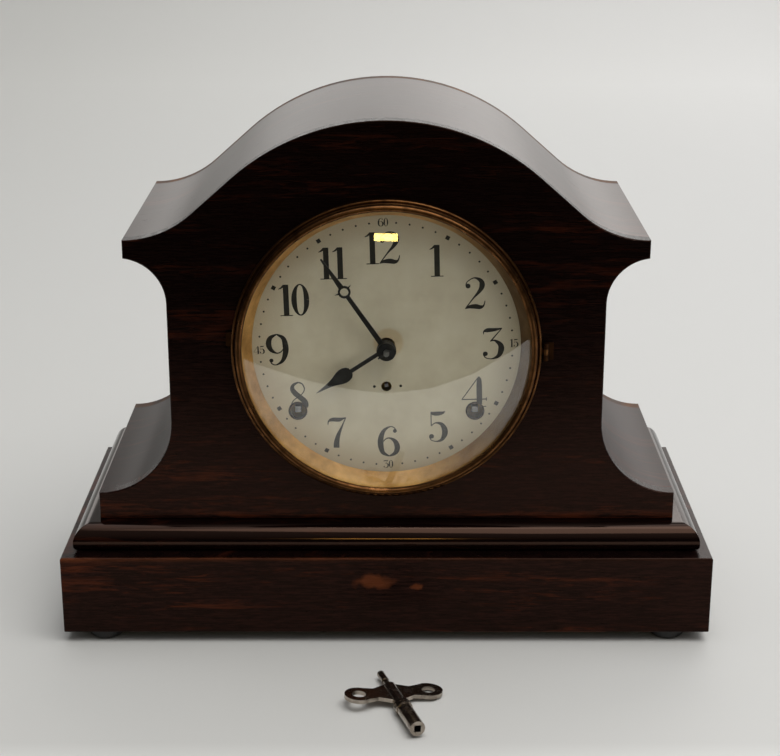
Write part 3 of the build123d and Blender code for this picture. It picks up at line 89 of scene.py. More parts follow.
def add(tree, kind, feeds=None, stops=None, **settings):
    """Adds one node. settings are its own properties, feeds its inputs' values or links, stops a ramp's colours."""
    made = tree.nodes.new(kind)
    for key, value in settings.items():
        setattr(made, key, value)
    for key, value in (feeds or {}).items():
        if isinstance(value, bpy.types.NodeSocket):
            tree.links.new(value, made.inputs[key])
        else:
            made.inputs[key].default_value = value
    if stops:
        points = made.color_ramp.elements
        while len(points) < len(stops):
            points.new(0.5)
        for point, (place, colour) in zip(points, stops):
            point.position = place
            point.color = linear(colour) if isinstance(colour, str) else (colour, colour, colour, 1.0)
    return made


def finish(name, **values):
    """A new material with one surface: returns it, its tree, the surface and the object's own coordinates."""
    made = bpy.data.materials.new(name)
    made.use_nodes = True
    tree = made.node_tree
    tree.nodes.clear()
    skin = add(tree, "ShaderNodeBsdfPrincipled", values)
    add(tree, "ShaderNodeOutputMaterial", {"Surface": skin.outputs["BSDF"]})
    place = add(tree, "ShaderNodeTexCoord").outputs["Object"]
    return made, tree, skin, place


def rosewood_veneer(name, grain, pale_to, black_from, index, smooth, uneven):
    """Rosewood veneer under old shellac: maroon ground, fine grain along the board, short orange-brown flecks, and a
    gloss that is warm where it is looked into. grain is the size in mm of one fleck along x, y and z. The veneer is at
    its palest up to the height pale_to, and nearly black above black_from: this darkening with height is painted
    shade. smooth and uneven are its roughness."""
    made, tree, skin, place = finish(name, **{"IOR": index, "Specular Tint": linear("#ffc8ae")})
    per_metre = [1000 / size for size in grain]
    figure = add(tree, "ShaderNodeMapping", {"Vector": place, "Scale": per_metre}).outputs[0]
    lines = add(tree, "ShaderNodeTexNoise", {"Vector": figure, "Scale": 1.9, "Detail": 6.0, "Roughness": 0.68,
                                             "Distortion": 0.5}).outputs["Fac"]
    ground = add(tree, "ShaderNodeValToRGB", {"Fac": lines},
                 [(0.3, "#090404"), (0.45, "#140a09"), (0.58, "#20100e"), (0.72, "#301813")]).outputs["Color"]
    # painted shade: the veneer is darkened towards near black with height, between pale_to and black_from, and its
    # flecks fade with it
    height = add(tree, "ShaderNodeSeparateXYZ", {"Vector": place}).outputs["Z"]
    dark = add(tree, "ShaderNodeMapRange", {"Value": height, "From Min": pale_to, "From Max": black_from,
                                            "To Max": 0.92}).outputs[0]
    darkened = add(tree, "ShaderNodeMix", {"Factor": dark, "A": ground, "B": linear("#080303")},
               data_type="RGBA").outputs[2]
    streak = add(tree, "ShaderNodeTexNoise", {"Vector": figure, "Scale": 0.8, "Detail": 5.0, "Roughness": 0.64,
                                              "Distortion": 1.3}).outputs["Fac"]
    broad = add(tree, "ShaderNodeTexNoise", {"Vector": figure, "Scale": 0.16, "Detail": 3.0}).outputs["Fac"]
    both = add(tree, "ShaderNodeMath", {0: streak, 1: broad}, operation="ADD").outputs[0]
    most = add(tree, "ShaderNodeMapRange", {"Value": dark, "To Min": 0.48, "To Max": 0.16}).outputs[0]
    fleck = add(tree, "ShaderNodeMapRange", {"Value": both, "From Min": 1.08, "From Max": 1.32,
                                             "To Max": most}).outputs[0]
    flecked = add(tree, "ShaderNodeMix", {"Factor": fleck, "A": darkened, "B": linear("#68311b")}, data_type="RGBA")
    veneer = flecked.outputs[2]
    if name == "plinth_rosewood_veneer":
        veneer = rubbed(tree, place, veneer, lines, broad)
    tree.links.new(veneer, skin.inputs["Base Color"])
    rough = add(tree, "ShaderNodeMapRange", {"Value": lines, "From Min": 0.3, "From Max": 0.7, "To Min": smooth,
                                             "To Max": smooth + uneven}).outputs[0]
    tree.links.new(rough, skin.inputs["Roughness"])
    relief = add(tree, "ShaderNodeBump", {"Height": lines, "Strength": 0.3 * uneven, "Distance": 0.0002}).outputs[0]
    tree.links.new(relief, skin.inputs["Normal"])
    return made


def rubbed(tree, place, veneer, lines, broad):
    """Bare reddish wood where hands have rubbed the finish: along the plinth's upper edge, and in front at the rubbed
    places, whose outline is ragged."""
    corner = add(tree, "ShaderNodeVectorMath", {0: place, 1: (0.0, plinth_low.y, plinth_high.z)}, operation="SUBTRACT")
    across = add(tree, "ShaderNodeVectorMath", {0: corner.outputs[0], 1: (0.0, 1.0, 1.0)}, operation="MULTIPLY")
    off_edge = add(tree, "ShaderNodeVectorMath", {0: across.outputs[0]}, operation="LENGTH").outputs["Value"]
    edge = add(tree, "ShaderNodeMapRange", {"Value": off_edge, "From Min": 2.4 * mm, "From Max": 0.6 * mm}).outputs[0]
    patchy = add(tree, "ShaderNodeMapRange", {"Value": broad, "From Min": 0.46, "From Max": 0.66,
                                              "To Min": 0.06}).outputs[0]
    uneven = add(tree, "ShaderNodeMath", {0: patchy, 1: lines}, operation="MULTIPLY").outputs[0]
    worn = add(tree, "ShaderNodeMath", {0: edge, 1: uneven}, operation="MULTIPLY").outputs[0]
    ragged = (0.012, 0.0, 0.007)
    ripple = add(tree, "ShaderNodeTexNoise", {"Vector": place, "Scale": 190.0, "Detail": 3.0}).outputs["Color"]
    bent = add(tree, "ShaderNodeVectorMath", {0: ripple, 1: ragged, 2: place}, operation="MULTIPLY_ADD")
    for x, z, wide, high in rubbed_places:
        middle = (x + ragged[0] / 2, plinth_low.y, z + ragged[2] / 2)
        local = add(tree, "ShaderNodeVectorMath", {0: bent.outputs[0], 1: middle},
                    operation="SUBTRACT").outputs[0]
        flat = add(tree, "ShaderNodeVectorMath", {0: local, 1: (1 / wide, 40.0, 1 / high)}, operation="MULTIPLY")
        out = add(tree, "ShaderNodeVectorMath", {0: flat.outputs[0]}, operation="LENGTH").outputs["Value"]
        here = add(tree, "ShaderNodeMapRange", {"Value": out, "From Min": 1.1, "From Max": 0.5,
                                                "To Max": 0.42}).outputs[0]
        worn = add(tree, "ShaderNodeMath", {0: worn, 1: here}, operation="MAXIMUM").outputs[0]
    bare = add(tree, "ShaderNodeMix", {"Factor": worn, "A": veneer, "B": linear("#8a4a2a")}, data_type="RGBA")
    return bare.outputs[2]


def stained_softwood(name, grain):
    """Sawn and stained softwood of the inside and the back: dull brown with straight grain lines."""
    made, tree, skin, place = finish(name, IOR=1.5)
    spread = add(tree, "ShaderNodeMapping", {"Vector": place, "Scale": [1000 / size for size in grain]}).outputs[0]
    lines = add(tree, "ShaderNodeTexNoise", {"Vector": spread, "Scale": 1.0, "Detail": 6.0, "Distortion": 0.5})
    tone = add(tree, "ShaderNodeValToRGB", {"Fac": lines.outputs["Fac"]},
               [(0.3, "#2c1a0f"), (0.5, "#4b2f1b"), (0.7, "#6a452a")])
    tree.links.new(tone.outputs["Color"], skin.inputs["Base Color"])
    rough = add(tree, "ShaderNodeMapRange", {"Value": lines.outputs["Fac"], "To Min": 0.5, "To Max": 0.8}).outputs[0]
    tree.links.new(rough, skin.inputs["Roughness"])
    relief = add(tree, "ShaderNodeBump", {"Height": lines.outputs["Fac"], "Strength": 0.2, "Distance": 0.0004})
    tree.links.new(relief.outputs[0], skin.inputs["Normal"])
    return made


def metal(name, bright, dull, cloud_mm, smooth, worn, tip=None, side=None):
    """A metal with a cloudy tarnish: bright where it is rubbed, darker and rougher where it is not. tip is the colour
    of what stands in front of the dial, where that is another metal, and side the colour of painted shade on the right."""
    made, tree, skin, place = finish(name, Metallic=1.0)
    spread = add(tree, "ShaderNodeMapping", {"Vector": place, "Scale": [1000 / cloud_mm] * 3}).outputs[0]
    cloud = add(tree, "ShaderNodeTexNoise", {"Vector": spread, "Scale": 1.0, "Detail": 6.0, "Roughness": 0.6})
    tone = add(tree, "ShaderNodeValToRGB", {"Fac": cloud.outputs["Fac"]},
               [(0.35, bright), (0.7, dull)]).outputs["Color"]
    if tip:
        depth = add(tree, "ShaderNodeSeparateXYZ", {"Vector": place}).outputs["Y"]
        front = add(tree, "ShaderNodeMath", {0: depth, 1: dial_front}, operation="LESS_THAN").outputs[0]
        tone = add(tree, "ShaderNodeMix", {"Factor": front, "A": tone, "B": linear(tip)}, data_type="RGBA").outputs[2]
    # painted shade: the metal is darkened towards the right with the colour side
    if side:
        across = add(tree, "ShaderNodeSeparateXYZ", {"Vector": place}).outputs["X"]
        right = add(tree, "ShaderNodeMapRange", {"Value": across, "From Min": 15 * mm, "From Max": 68 * mm,
                                                 "To Max": 0.85}).outputs[0]
        tone = add(tree, "ShaderNodeMix", {"Factor": right, "A": tone, "B": linear(side)}, data_type="RGBA").outputs[2]
    tree.links.new(tone, skin.inputs["Base Color"])
    rough = add(tree, "ShaderNodeMapRange", {"Value": cloud.outputs["Fac"], "From Min": 0.3, "From Max": 0.7,
                                             "To Min": smooth, "To Max": worn}).outputs[0]
    tree.links.new(rough, skin.inputs["Roughness"])
    return made


def dial_paper():
    """Aged ivory paper on tin: matt grey cream, foxed brown at the rim and on the right, a rubbed ring at the hub."""
    made, tree, skin, place = finish("aged_dial_paper", IOR=1.45, Roughness=0.55)
    local = add(tree, "ShaderNodeVectorMath", {0: place, 1: dial_centre}, operation="SUBTRACT").outputs[0]
    flat = add(tree, "ShaderNodeVectorMath", {0: local, 1: (1000, 0, 1000)}, operation="MULTIPLY").outputs[0]
    out = add(tree, "ShaderNodeVectorMath", {0: flat}, operation="LENGTH").outputs["Value"]
    fibre = add(tree, "ShaderNodeTexNoise", {"Vector": flat, "Scale": 0.9, "Detail": 6.0}).outputs["Fac"]
    blot = add(tree, "ShaderNodeTexNoise", {"Vector": flat, "Scale": 0.055, "Detail": 5.0,
                                            "Roughness": 0.6}).outputs["Fac"]
    paper = add(tree, "ShaderNodeValToRGB", {"Fac": blot}, [(0.3, "#d0c5ad"), (0.5, "#d9cfb7"), (0.7, "#dfd6c0")])
    rim = add(tree, "ShaderNodeMapRange", {"Value": out, "From Min": 58.0, "From Max": 80.0, "To Max": 0.75}).outputs[0]
    side = add(tree, "ShaderNodeVectorMath", {0: flat, 1: (66.0, 0.0, 26.0)}, operation="DISTANCE").outputs["Value"]
    foxed = add(tree, "ShaderNodeMapRange", {"Value": side, "From Min": 34.0, "From Max": 6.0,
                                             "To Max": 0.15}).outputs[0]
    darkened = add(tree, "ShaderNodeMath", {0: rim, 1: foxed}, operation="MAXIMUM").outputs[0]
    darkened = add(tree, "ShaderNodeMath", {0: darkened, 1: blot}, operation="MULTIPLY").outputs[0]
    brown = add(tree, "ShaderNodeMix", {"Factor": darkened, "A": paper.outputs["Color"], "B": linear("#86704e")},
                data_type="RGBA")
    hub = add(tree, "ShaderNodeVectorMath", {0: flat, 1: (1.0, 0.0, 2.0)}, operation="DISTANCE").outputs["Value"]
    bare = add(tree, "ShaderNodeMapRange", {"Value": hub, "From Min": 9.0, "From Max": 7.6, "To Max": 0.45}).outputs[0]
    rubbed_ring = add(tree, "ShaderNodeMix", {"Factor": bare, "A": brown.outputs[2], "B": linear("#c8a873")},
                      data_type="RGBA").outputs[2]
    tree.links.new(rubbed_ring, skin.inputs["Base Color"])
    relief = add(tree, "ShaderNodeBump", {"Height": fibre, "Strength": 0.05, "Distance": 0.0001}).outputs[0]
    tree.links.new(relief, skin.inputs["Normal"])
    return made


def clear_glass():
    """Thin blown glass: clear, colourless, sharp reflections; it lets lamp light through to the dial."""
    made, tree, skin, place = finish("blown_clear_glass", **{"Base Color": linear("#fdfefd"), "IOR": 1.55,
                                                            "Roughness": 0.0, "Transmission Weight": 1.0})
    path = add(tree, "ShaderNodeLightPath")
    passing = add(tree, "ShaderNodeMath", {0: path.outputs["Is Shadow Ray"], 1: path.outputs["Is Diffuse Ray"]},
                  operation="MAXIMUM").outputs[0]
    open_air = add(tree, "ShaderNodeBsdfTransparent", {"Color": linear("#fdfefd")})
    both = add(tree, "ShaderNodeMixShader", {0: passing, 1: skin.outputs[0], 2: open_air.outputs[0]})
    end = [n for n in tree.nodes if n.type == "OUTPUT_MATERIAL"][0]
    tree.links.new(both.outputs[0], end.inputs["Surface"])
    return made


def lacquer(name, colour, glint, grain_mm, smooth, worn):
    """Thin dark lacquer on metal: a soft gloss with small worn lighter places."""
    made, tree, skin, place = finish(name, IOR=1.5)
    spread = add(tree, "ShaderNodeMapping", {"Vector": place, "Scale": [1000 / grain_mm] * 3}).outputs[0]
    speck = add(tree, "ShaderNodeTexNoise", {"Vector": spread, "Scale": 1.0, "Detail": 5.0})
    tone = add(tree, "ShaderNodeValToRGB", {"Fac": speck.outputs["Fac"]}, [(0.5, colour), (0.75, glint)])
    tree.links.new(tone.outputs["Color"], skin.inputs["Base Color"])
    rough = add(tree, "ShaderNodeMapRange", {"Value": speck.outputs["Fac"], "To Min": smooth,
                                             "To Max": worn}).outputs[0]
    tree.links.new(rough, skin.inputs["Roughness"])
    return made


finishes = {
    # pale_to and black_from set where each veneer's painted shade darkens it with height
    "front_veneer": rosewood_veneer("front_rosewood_veneer", grain=(22, 22, 1.9), pale_to=0.08, black_from=0.2,
                                    index=1.24, smooth=0.2, uneven=0.14),
    "moulding_veneer": rosewood_veneer("moulding_rosewood_veneer", grain=(26, 22, 2.4), pale_to=0.0, black_from=0.06,
                                       index=1.38, smooth=0.07, uneven=0.04),
    "plinth_veneer": rosewood_veneer("plinth_rosewood_veneer", grain=(22, 22, 1.9), pale_to=0.0505, black_from=0.0522,
                                     index=1.24, smooth=0.2, uneven=0.14),
    "side_veneer": rosewood_veneer("side_rosewood_veneer", grain=(22, 22, 1.9), pale_to=0.08, black_from=0.21,
                                   index=1.25, smooth=0.26, uneven=0.06),
    "curved_veneer": rosewood_veneer("curved_rosewood_veneer", grain=(40, 2.4, 40), pale_to=0.08, black_from=0.4,
                                     index=1.43, smooth=0.27, uneven=0.03),
    "cheek_veneer": rosewood_veneer("cheek_rosewood_veneer", grain=(40, 2.4, 40), pale_to=0.08, black_from=0.4,
                                    index=1.27, smooth=0.32, uneven=0.03),
    "softwood": stained_softwood("stained_softwood", grain=(80, 80, 3)),
    "aged_brass": metal("aged_lacquered_brass", "#6c492b", "#301d0f", cloud_mm=9, smooth=0.24, worn=0.38),
    # the sight ring's side colour is painted shade on its right
    "sight_brass": metal("gilt_sight_brass", "#ffd28c", "#c89858", cloud_mm=16, smooth=0.45, worn=0.6, side="#4a331b"),
    "dark_brass": metal("blackened_brass", "#3a2414", "#1d1109", cloud_mm=5, smooth=0.3, worn=0.5),
    "movement_brass": metal("brushed_movement_brass", "#d8b264", "#b08a45", cloud_mm=12, smooth=0.3, worn=0.45),
    "center_brass": metal("brass_on_steel_arbor", "#d8b264", "#b08a45", cloud_mm=12, smooth=0.3, worn=0.45,
                          tip="#8f9093"),
    "steel": metal("bright_steel", "#a9a9ab", "#77777a", cloud_mm=5, smooth=0.25, worn=0.45),
    "nickel": metal("worn_nickel_plate", "#bbb1a5", "#80756b", cloud_mm=6, smooth=0.14, worn=0.32),
    "iron": lacquer("japanned_cast_iron", "#17161a", "#2c2a2c", grain_mm=3, smooth=0.4, worn=0.7),
    "hands": lacquer("blacked_steel_hands", "#0b0b0d", "#26262a", grain_mm=4, smooth=0.25, worn=0.5),
    "glides": lacquer("dark_japanned_glides", "#0d0b0a", "#241d19", grain_mm=4, smooth=0.35, worn=0.6),
    "ink": lacquer("faded_printing_ink", "#0f0d0a", "#221f19", grain_mm=3, smooth=0.5, worn=0.7),
    "paper": dial_paper(),
    "glass": clear_glass(),
}
worn_by = {
    "front_veneer": ["case_front"],
    "moulding_veneer": ["ovolo_board"],
    "plinth_veneer": ["plinth_front_rail", "plinth_back_rail"],
    "side_veneer": ["plinth_left_rail", "plinth_right_rail"],
    "curved_veneer": ["arched_top"],
    "cheek_veneer": ["left_cheek", "right_cheek"],
    "softwood": ["bottom_board", "case_back", "back_door"],
    "dark_brass": ["bezel_tab", "bezel_hinge", "dial_eyelets"],
    "aged_brass": ["bezel_ring", "back_door_hinge", "back_door_knob"],
    "sight_brass": ["sight_ring"],
    "center_brass": ["center_wheel"],
    "hands": ["hour_hand", "minute_hand", "hand_pin"],
    "iron": ["gong_stand"],
    "glides": ["feet"],
    "nickel": ["winding_key"],
    "paper": ["dial_plate"],
    "glass": ["bezel_glass"],
}
slot_finish = {"steel": "steel", "movement_brass": "movement_brass"}
dressed = {node: name for name, group in worn_by.items() for node in group}
for row in frame["record"]["subparts"]:
    name = dressed.get(row["node"]) or slot_finish[row["material_slot"]]
    for slot in nodes[row["node"]].material_slots:
        slot.material = finishes[name]


# Strokes of each figure, as shares of its height: (across, up, width), then round ends as (across, up, radius)
oval = [(0.28 + 0.19 * math.cos(a), 0.5 + 0.48 * math.sin(a), 0.04 + 0.125 * math.cos(a) ** 2)
        for a in [math.pi * i / 8 for i in range(16)]]
figure_six = [[(0.545, 0.83, 0.03), (0.48, 0.955, 0.035), (0.36, 0.985, 0.04), (0.2, 0.86, 0.11), (0.115, 0.62, 0.165),
               (0.105, 0.38, 0.175), (0.16, 0.14, 0.13), (0.33, 0.014, 0.04)],
              [(0.14, 0.44, 0.03), (0.24, 0.58, 0.035), (0.36, 0.61, 0.05), (0.5, 0.5, 0.13), (0.555, 0.31, 0.17),
               (0.5, 0.12, 0.13), (0.33, 0.014, 0.04)]]
strokes = {
    ".": [],
    "0": [oval + oval[:1]],
    "1": [[(0.27, 0.0, 0.165), (0.27, 0.985, 0.165)], [(0.05, 0.85, 0.02), (0.13, 0.885, 0.05), (0.21, 0.955, 0.07)],
          [(0.08, 0.014, 0.028), (0.46, 0.014, 0.028)]],
    "2": [[(0.075, 0.745, 0.03), (0.12, 0.87, 0.03), (0.3, 0.98, 0.04), (0.47, 0.9, 0.12), (0.515, 0.745, 0.165),
           (0.44, 0.56, 0.11), (0.27, 0.34, 0.045), (0.06, 0.03, 0.03)],
          [(0.05, 0.02, 0.03), (0.16, 0.075, 0.1), (0.33, 0.085, 0.15), (0.46, 0.06, 0.12), (0.55, 0.11, 0.05),
           (0.59, 0.26, 0.025)]],
    "3": [[(0.09, 0.8, 0.02), (0.1, 0.89, 0.05), (0.2, 0.93, 0.13), (0.4, 0.945, 0.1), (0.6, 0.985, 0.03)],
          [(0.6, 0.985, 0.03), (0.44, 0.78, 0.035), (0.28, 0.575, 0.04)],
          [(0.27, 0.58, 0.03), (0.4, 0.6, 0.06), (0.55, 0.47, 0.15), (0.575, 0.31, 0.18), (0.5, 0.11, 0.12),
           (0.32, 0.018, 0.04), (0.15, 0.05, 0.03), (0.075, 0.16, 0.03)]],
    "4": [[(0.47, 0.985, 0.03), (0.26, 0.63, 0.03), (0.04, 0.265, 0.03)], [(0.03, 0.255, 0.034), (0.68, 0.255, 0.034)],
          [(0.665, 0.2, 0.022), (0.665, 0.31, 0.022)], [(0.485, 0.99, 0.02), (0.485, 0.8, 0.16), (0.485, 0.0, 0.165)],
          [(0.31, 0.014, 0.028), (0.66, 0.014, 0.028)]],
    "5": [[(0.13, 0.99, 0.02), (0.2, 0.935, 0.11), (0.36, 0.93, 0.13), (0.5, 0.955, 0.08), (0.57, 1.0, 0.02)],
          [(0.135, 0.985, 0.03), (0.135, 0.53, 0.03)],
          [(0.135, 0.53, 0.03), (0.27, 0.625, 0.04), (0.45, 0.58, 0.11), (0.55, 0.4, 0.175), (0.54, 0.22, 0.165),
           (0.44, 0.06, 0.09), (0.28, 0.015, 0.035), (0.13, 0.06, 0.03), (0.075, 0.17, 0.03)]],
    "6": figure_six,
    "7": [[(0.06, 0.76, 0.02), (0.085, 0.88, 0.05), (0.2, 0.93, 0.12), (0.4, 0.925, 0.13), (0.52, 0.955, 0.07),
           (0.62, 0.985, 0.03)],
          [(0.615, 0.985, 0.03), (0.5, 0.72, 0.05), (0.37, 0.42, 0.12), (0.31, 0.18, 0.17), (0.3, 0.0, 0.18)]],
    "8": [[(0.33, 0.98, 0.045), (0.18, 0.9, 0.09), (0.14, 0.77, 0.14), (0.22, 0.63, 0.165), (0.36, 0.5, 0.165),
           (0.5, 0.36, 0.17), (0.545, 0.22, 0.14), (0.47, 0.07, 0.08), (0.32, 0.018, 0.045), (0.15, 0.07, 0.04),
           (0.085, 0.22, 0.035), (0.15, 0.38, 0.03), (0.3, 0.5, 0.03), (0.44, 0.61, 0.03), (0.51, 0.76, 0.035),
           (0.45, 0.92, 0.04), (0.33, 0.98, 0.045)]],
    "9": [[(0.67 - x, 1 - y, w) for x, y, w in line] for line in figure_six],
}
round_ends = {".": [(0.1, 0.5, 0.1)], "2": [(0.135, 0.73, 0.075)], "3": [(0.135, 0.18, 0.075)],
              "5": [(0.14, 0.185, 0.075)], "6": [(0.5, 0.845, 0.062)], "9": [(0.17, 0.155, 0.062)]}
breadth = {"2": 1.12, "3": 1.1, "4": 1.2, "6": 1.14, "9": 1.14}
advance = {"1": 0.42, "2": 0.66, "3": 0.7, "4": 0.72, "5": 0.68, "6": 0.7, "0": 0.66}


def flowing(points, steps=6):
    """Points of a smooth line through a stroke's points, with its width."""
    ends = [points[0]] + list(points) + [points[-1]]
    line = []
    for a, b, c, d in zip(ends, ends[1:], ends[2:], ends[3:]):
        for i in range(steps):
            t = i / steps
            line.append([0.5 * (2 * q + (r - p) * t + (2 * p - 5 * q + 4 * r - s) * t * t
                                + (3 * q - p - 3 * r + s) * t ** 3) for p, q, r, s in zip(a, b, c, d)])
    return line + [list(points[-1])]


def figure_faces(text):
    """Flat faces of a number, as lists of points in shares of its height, centred on the origin."""
    faces = []
    start = 0.0
    for figure in text:
        wide = breadth.get(figure, 1.0)
        for stroke in strokes[figure]:
            line = [(x * wide, y, width) for x, y, width in flowing(stroke)]
            edges = []
            for i, (x, y, width) in enumerate(line):
                before, after = line[max(i - 1, 0)], line[min(i + 1, len(line) - 1)]
                way = Vector((after[0] - before[0], after[1] - before[1])).normalized()
                side = Vector((-way.y, way.x)) * max(width, 0.012) / 2
                edges.append((Vector((x + start, y)) + side, Vector((x + start, y)) - side))
            faces += [[a[1], b[1], b[0], a[0]] for a, b in zip(edges, edges[1:])]
        for x, y, radius in round_ends.get(figure, []):
            faces.append([Vector((x * wide + start + radius * math.cos(a), y + radius * math.sin(a)))
                          for a in [math.tau * i / 20 for i in range(20)]])
        start += advance.get(figure, 0.66)
    across = [p.x for face in faces for p in face]
    middle = Vector(((min(across) + max(across)) / 2, 0.5))
    return [[p - middle for p in face] for face in faces]


def print_numbers(name, rows, height):
    """One thin printed layer on the dial, from rows of (number, clock angle, radius, shift). The eyelets' bores stay
    open."""
    mesh = bmesh.new()
    bores = [Vector((side * eyelet_spread, eyelet_height)) for side in (-1, 1)]
    for text, angle, radius, shift in rows:
        turn = angle - dial_turn
        centre = Vector((radius * math.sin(turn), dial_centre.z + radius * math.cos(turn))) + Vector(shift) * mm
        lean = Matrix.Rotation(dial_turn, 2)
        for face in figure_faces(text):
            flat = [centre + lean @ (p * height) for p in face]
            middle = sum(flat, Vector((0, 0))) / len(flat)
            if min((middle - bore).length for bore in bores) < eyelet_radius * 0.92:
                continue
            mesh.faces.new([mesh.verts.new((p.x, dial_front, p.y)) for p in flat])
    grown = bmesh.ops.extrude_face_region(mesh, geom=mesh.faces[:])
    bmesh.ops.translate(mesh, vec=(0, -ink_depth, 0),
                        verts=[v for v in grown["geom"] if isinstance(v, bmesh.types.BMVert)])
    bmesh.ops.recalc_face_normals(mesh, faces=mesh.faces[:])
    data = bpy.data.meshes.new(name)
    mesh.to_mesh(data)
    mesh.free()
    return place_on(name, data, finishes["ink"], "case")


def place_on(name, data, material, body):
    """Makes a finished mesh an object that rides on a body."""
    piece = bpy.data.objects.new(name, data)
    bpy.context.scene.collection.objects.link(piece)
    if not data.materials:
        data.materials.append(material)
    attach(piece, body)
    return piece


def minute_track():
    """A node tree that prints the minute ring: dots, squares at the fives, and room for the numbers at the quarters."""
    tree = bpy.data.node_groups.new("minute_track", "GeometryNodeTree")
    sizes = {"Ring Radius": minute_ring, "Dot Diameter": minute_dot, "Square Side": five_minute_square,
             "Ink Depth": ink_depth}
    for label in sizes:
        tree.interface.new_socket(label, in_out="INPUT", socket_type="NodeSocketFloat")
    tree.interface.new_socket("Geometry", in_out="OUTPUT", socket_type="NodeSocketGeometry")
    given = add(tree, "NodeGroupInput").outputs
    ring = add(tree, "GeometryNodeMeshCircle", {"Vertices": 60, "Radius": given["Ring Radius"]}).outputs[0]
    place = add(tree, "GeometryNodeInputIndex").outputs[0]
    fives = add(tree, "ShaderNodeMath", {0: place, 1: 5.0}, operation="MODULO").outputs[0]
    on_five = add(tree, "FunctionNodeCompare", {0: fives, 1: 0.5}, operation="LESS_THAN").outputs[0]
    off_five = add(tree, "FunctionNodeCompare", {0: fives, 1: 0.5}, operation="GREATER_THAN").outputs[0]
    quarters = add(tree, "ShaderNodeMath", {0: place, 1: 15.0}, operation="MODULO").outputs[0]
    off_quarter = add(tree, "FunctionNodeCompare", {0: quarters, 1: 0.5}, operation="GREATER_THAN").outputs[0]
    square_here = add(tree, "FunctionNodeBooleanMath", {0: on_five, 1: off_quarter}, operation="AND").outputs[0]
    half = add(tree, "ShaderNodeMath", {0: given["Dot Diameter"], 1: 0.5}, operation="MULTIPLY").outputs[0]
    dot = add(tree, "GeometryNodeMeshCylinder", {"Vertices": 12, "Radius": half, "Depth": given["Ink Depth"]})
    size = add(tree, "ShaderNodeCombineXYZ", {"X": given["Square Side"], "Y": given["Square Side"],
                                              "Z": given["Ink Depth"]}).outputs[0]
    square = add(tree, "GeometryNodeMeshCube", {"Size": size}).outputs[0]
    where = add(tree, "GeometryNodeInputPosition").outputs[0]
    facing = add(tree, "FunctionNodeAlignEulerToVector", {"Vector": where}, axis="X", pivot_axis="Z").outputs[0]
    dots = add(tree, "GeometryNodeInstanceOnPoints", {"Points": ring, "Selection": off_five,
                                                      "Instance": dot.outputs["Mesh"]}).outputs[0]
    squares = add(tree, "GeometryNodeInstanceOnPoints", {"Points": ring, "Selection": square_here, "Instance": square,
                                                         "Rotation": facing}).outputs[0]
    both = add(tree, "GeometryNodeJoinGeometry")
    tree.links.new(dots, both.inputs[0])
    tree.links.new(squares, both.inputs[0])
    stood = add(tree, "GeometryNodeTransform", {
        "Geometry": both.outputs[0], "Rotation": (math.pi / 2, -dial_turn, 0.0),
        "Translation": (print_shift, dial_front - ink_depth / 2, dial_centre.z)}).outputs[0]
    real = add(tree, "GeometryNodeRealizeInstances", {"Geometry": stood}).outputs[0]
    inked = add(tree, "GeometryNodeSetMaterial", {"Geometry": real, "Material": finishes["ink"]}).outputs[0]
    add(tree, "NodeGroupOutput", {"Geometry": inked})
    return grown_mesh("minute_track", tree, sizes)


def grown_mesh(name, tree, sizes):
    """Runs a node tree once with its sizes and gives the plain mesh that it makes."""
    holder = bpy.data.objects.new(name + "_maker", bpy.data.meshes.new(name + "_maker"))
    bpy.context.scene.collection.objects.link(holder)
    rule = holder.modifiers.new("rule", "NODES")
    rule.node_group = tree
    for item in tree.interface.items_tree:
        if item.in_out == "INPUT" and item.name in sizes:
            rule[item.identifier] = sizes[item.name]
    graph = bpy.context.evaluated_depsgraph_get()
    data = bpy.data.meshes.new_from_object(holder.evaluated_get(graph))
    data.name = name
    holder.modifiers.remove(rule)
    bpy.data.objects.remove(holder)
    return data


hours = [(str(h), math.tau * h / 12, hour_ring, astray[h]) for h in range(1, 13)]
print_numbers("hour_numbers", hours, hour_height)
quarters = [(number, math.tau * i / 4, minute_ring, shift) for i, (number, shift) in enumerate(
    [("60", (0.0, 0.2)), ("15", (0.6, 0.0)), ("30", (-0.8, 0.2)), ("45", (-0.4, -0.4))])]
print_numbers("quarter_numbers", quarters, quarter_height)
marks = [(".", math.atan2(x, z), math.hypot(x, z), (0.0, 0.0)) for x, z in rate_marks]
print_numbers("rate_marks", marks, rate_mark)
place_on("minute_track", minute_track(), finishes["ink"], "case")


def glass_dome():
    """The bezel's domed glass, spun with a smooth skin, because flat facets would bend the sight of the dial."""
    low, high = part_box("bezel_glass")
    edge = (high.x - low.x) / 2
    rim = edge - glass_flange
    rise = high.y - low.y - glass_thickness
    bow = (rim ** 2 + rise ** 2) / (2 * rise)
    steps = 30
    outer = [(rim * i / steps, bow - math.sqrt(bow ** 2 - (rim * i / steps) ** 2)) for i in range(steps + 1)]
    inner = [(radius, depth + glass_thickness) for radius, depth in reversed(outer)]
    profile = outer + [(edge, rise), (edge, rise + glass_thickness)] + inner
    around = 160
    mesh = bmesh.new()
    rings = []
    for radius, depth in profile:
        turns = [math.tau * i / around for i in range(around if radius else 1)]
        rings.append([mesh.verts.new((radius * math.cos(a), low.y + depth, dial_centre.z + radius * math.sin(a)))
                      for a in turns])
    for first, second in zip(rings, rings[1:]):
        for i in range(around):
            j = (i + 1) % around
            corners = [first[i % len(first)], first[j % len(first)], second[j % len(second)], second[i % len(second)]]
            mesh.faces.new(list(dict.fromkeys(corners))).smooth = True
    for ring in rings[steps:steps + 4]:  # the flange keeps its corners sharp
        for i in range(around):
            mesh.edges.get((ring[i], ring[(i + 1) % around])).smooth = False
    bmesh.ops.recalc_face_normals(mesh, faces=mesh.faces[:])
    data = bpy.data.meshes.new("domed_glass")
    mesh.to_mesh(data)
    mesh.free()
    return data


dome = place_on("domed_glass", glass_dome(), finishes["glass"], "bezel")
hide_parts("bezel_glass")


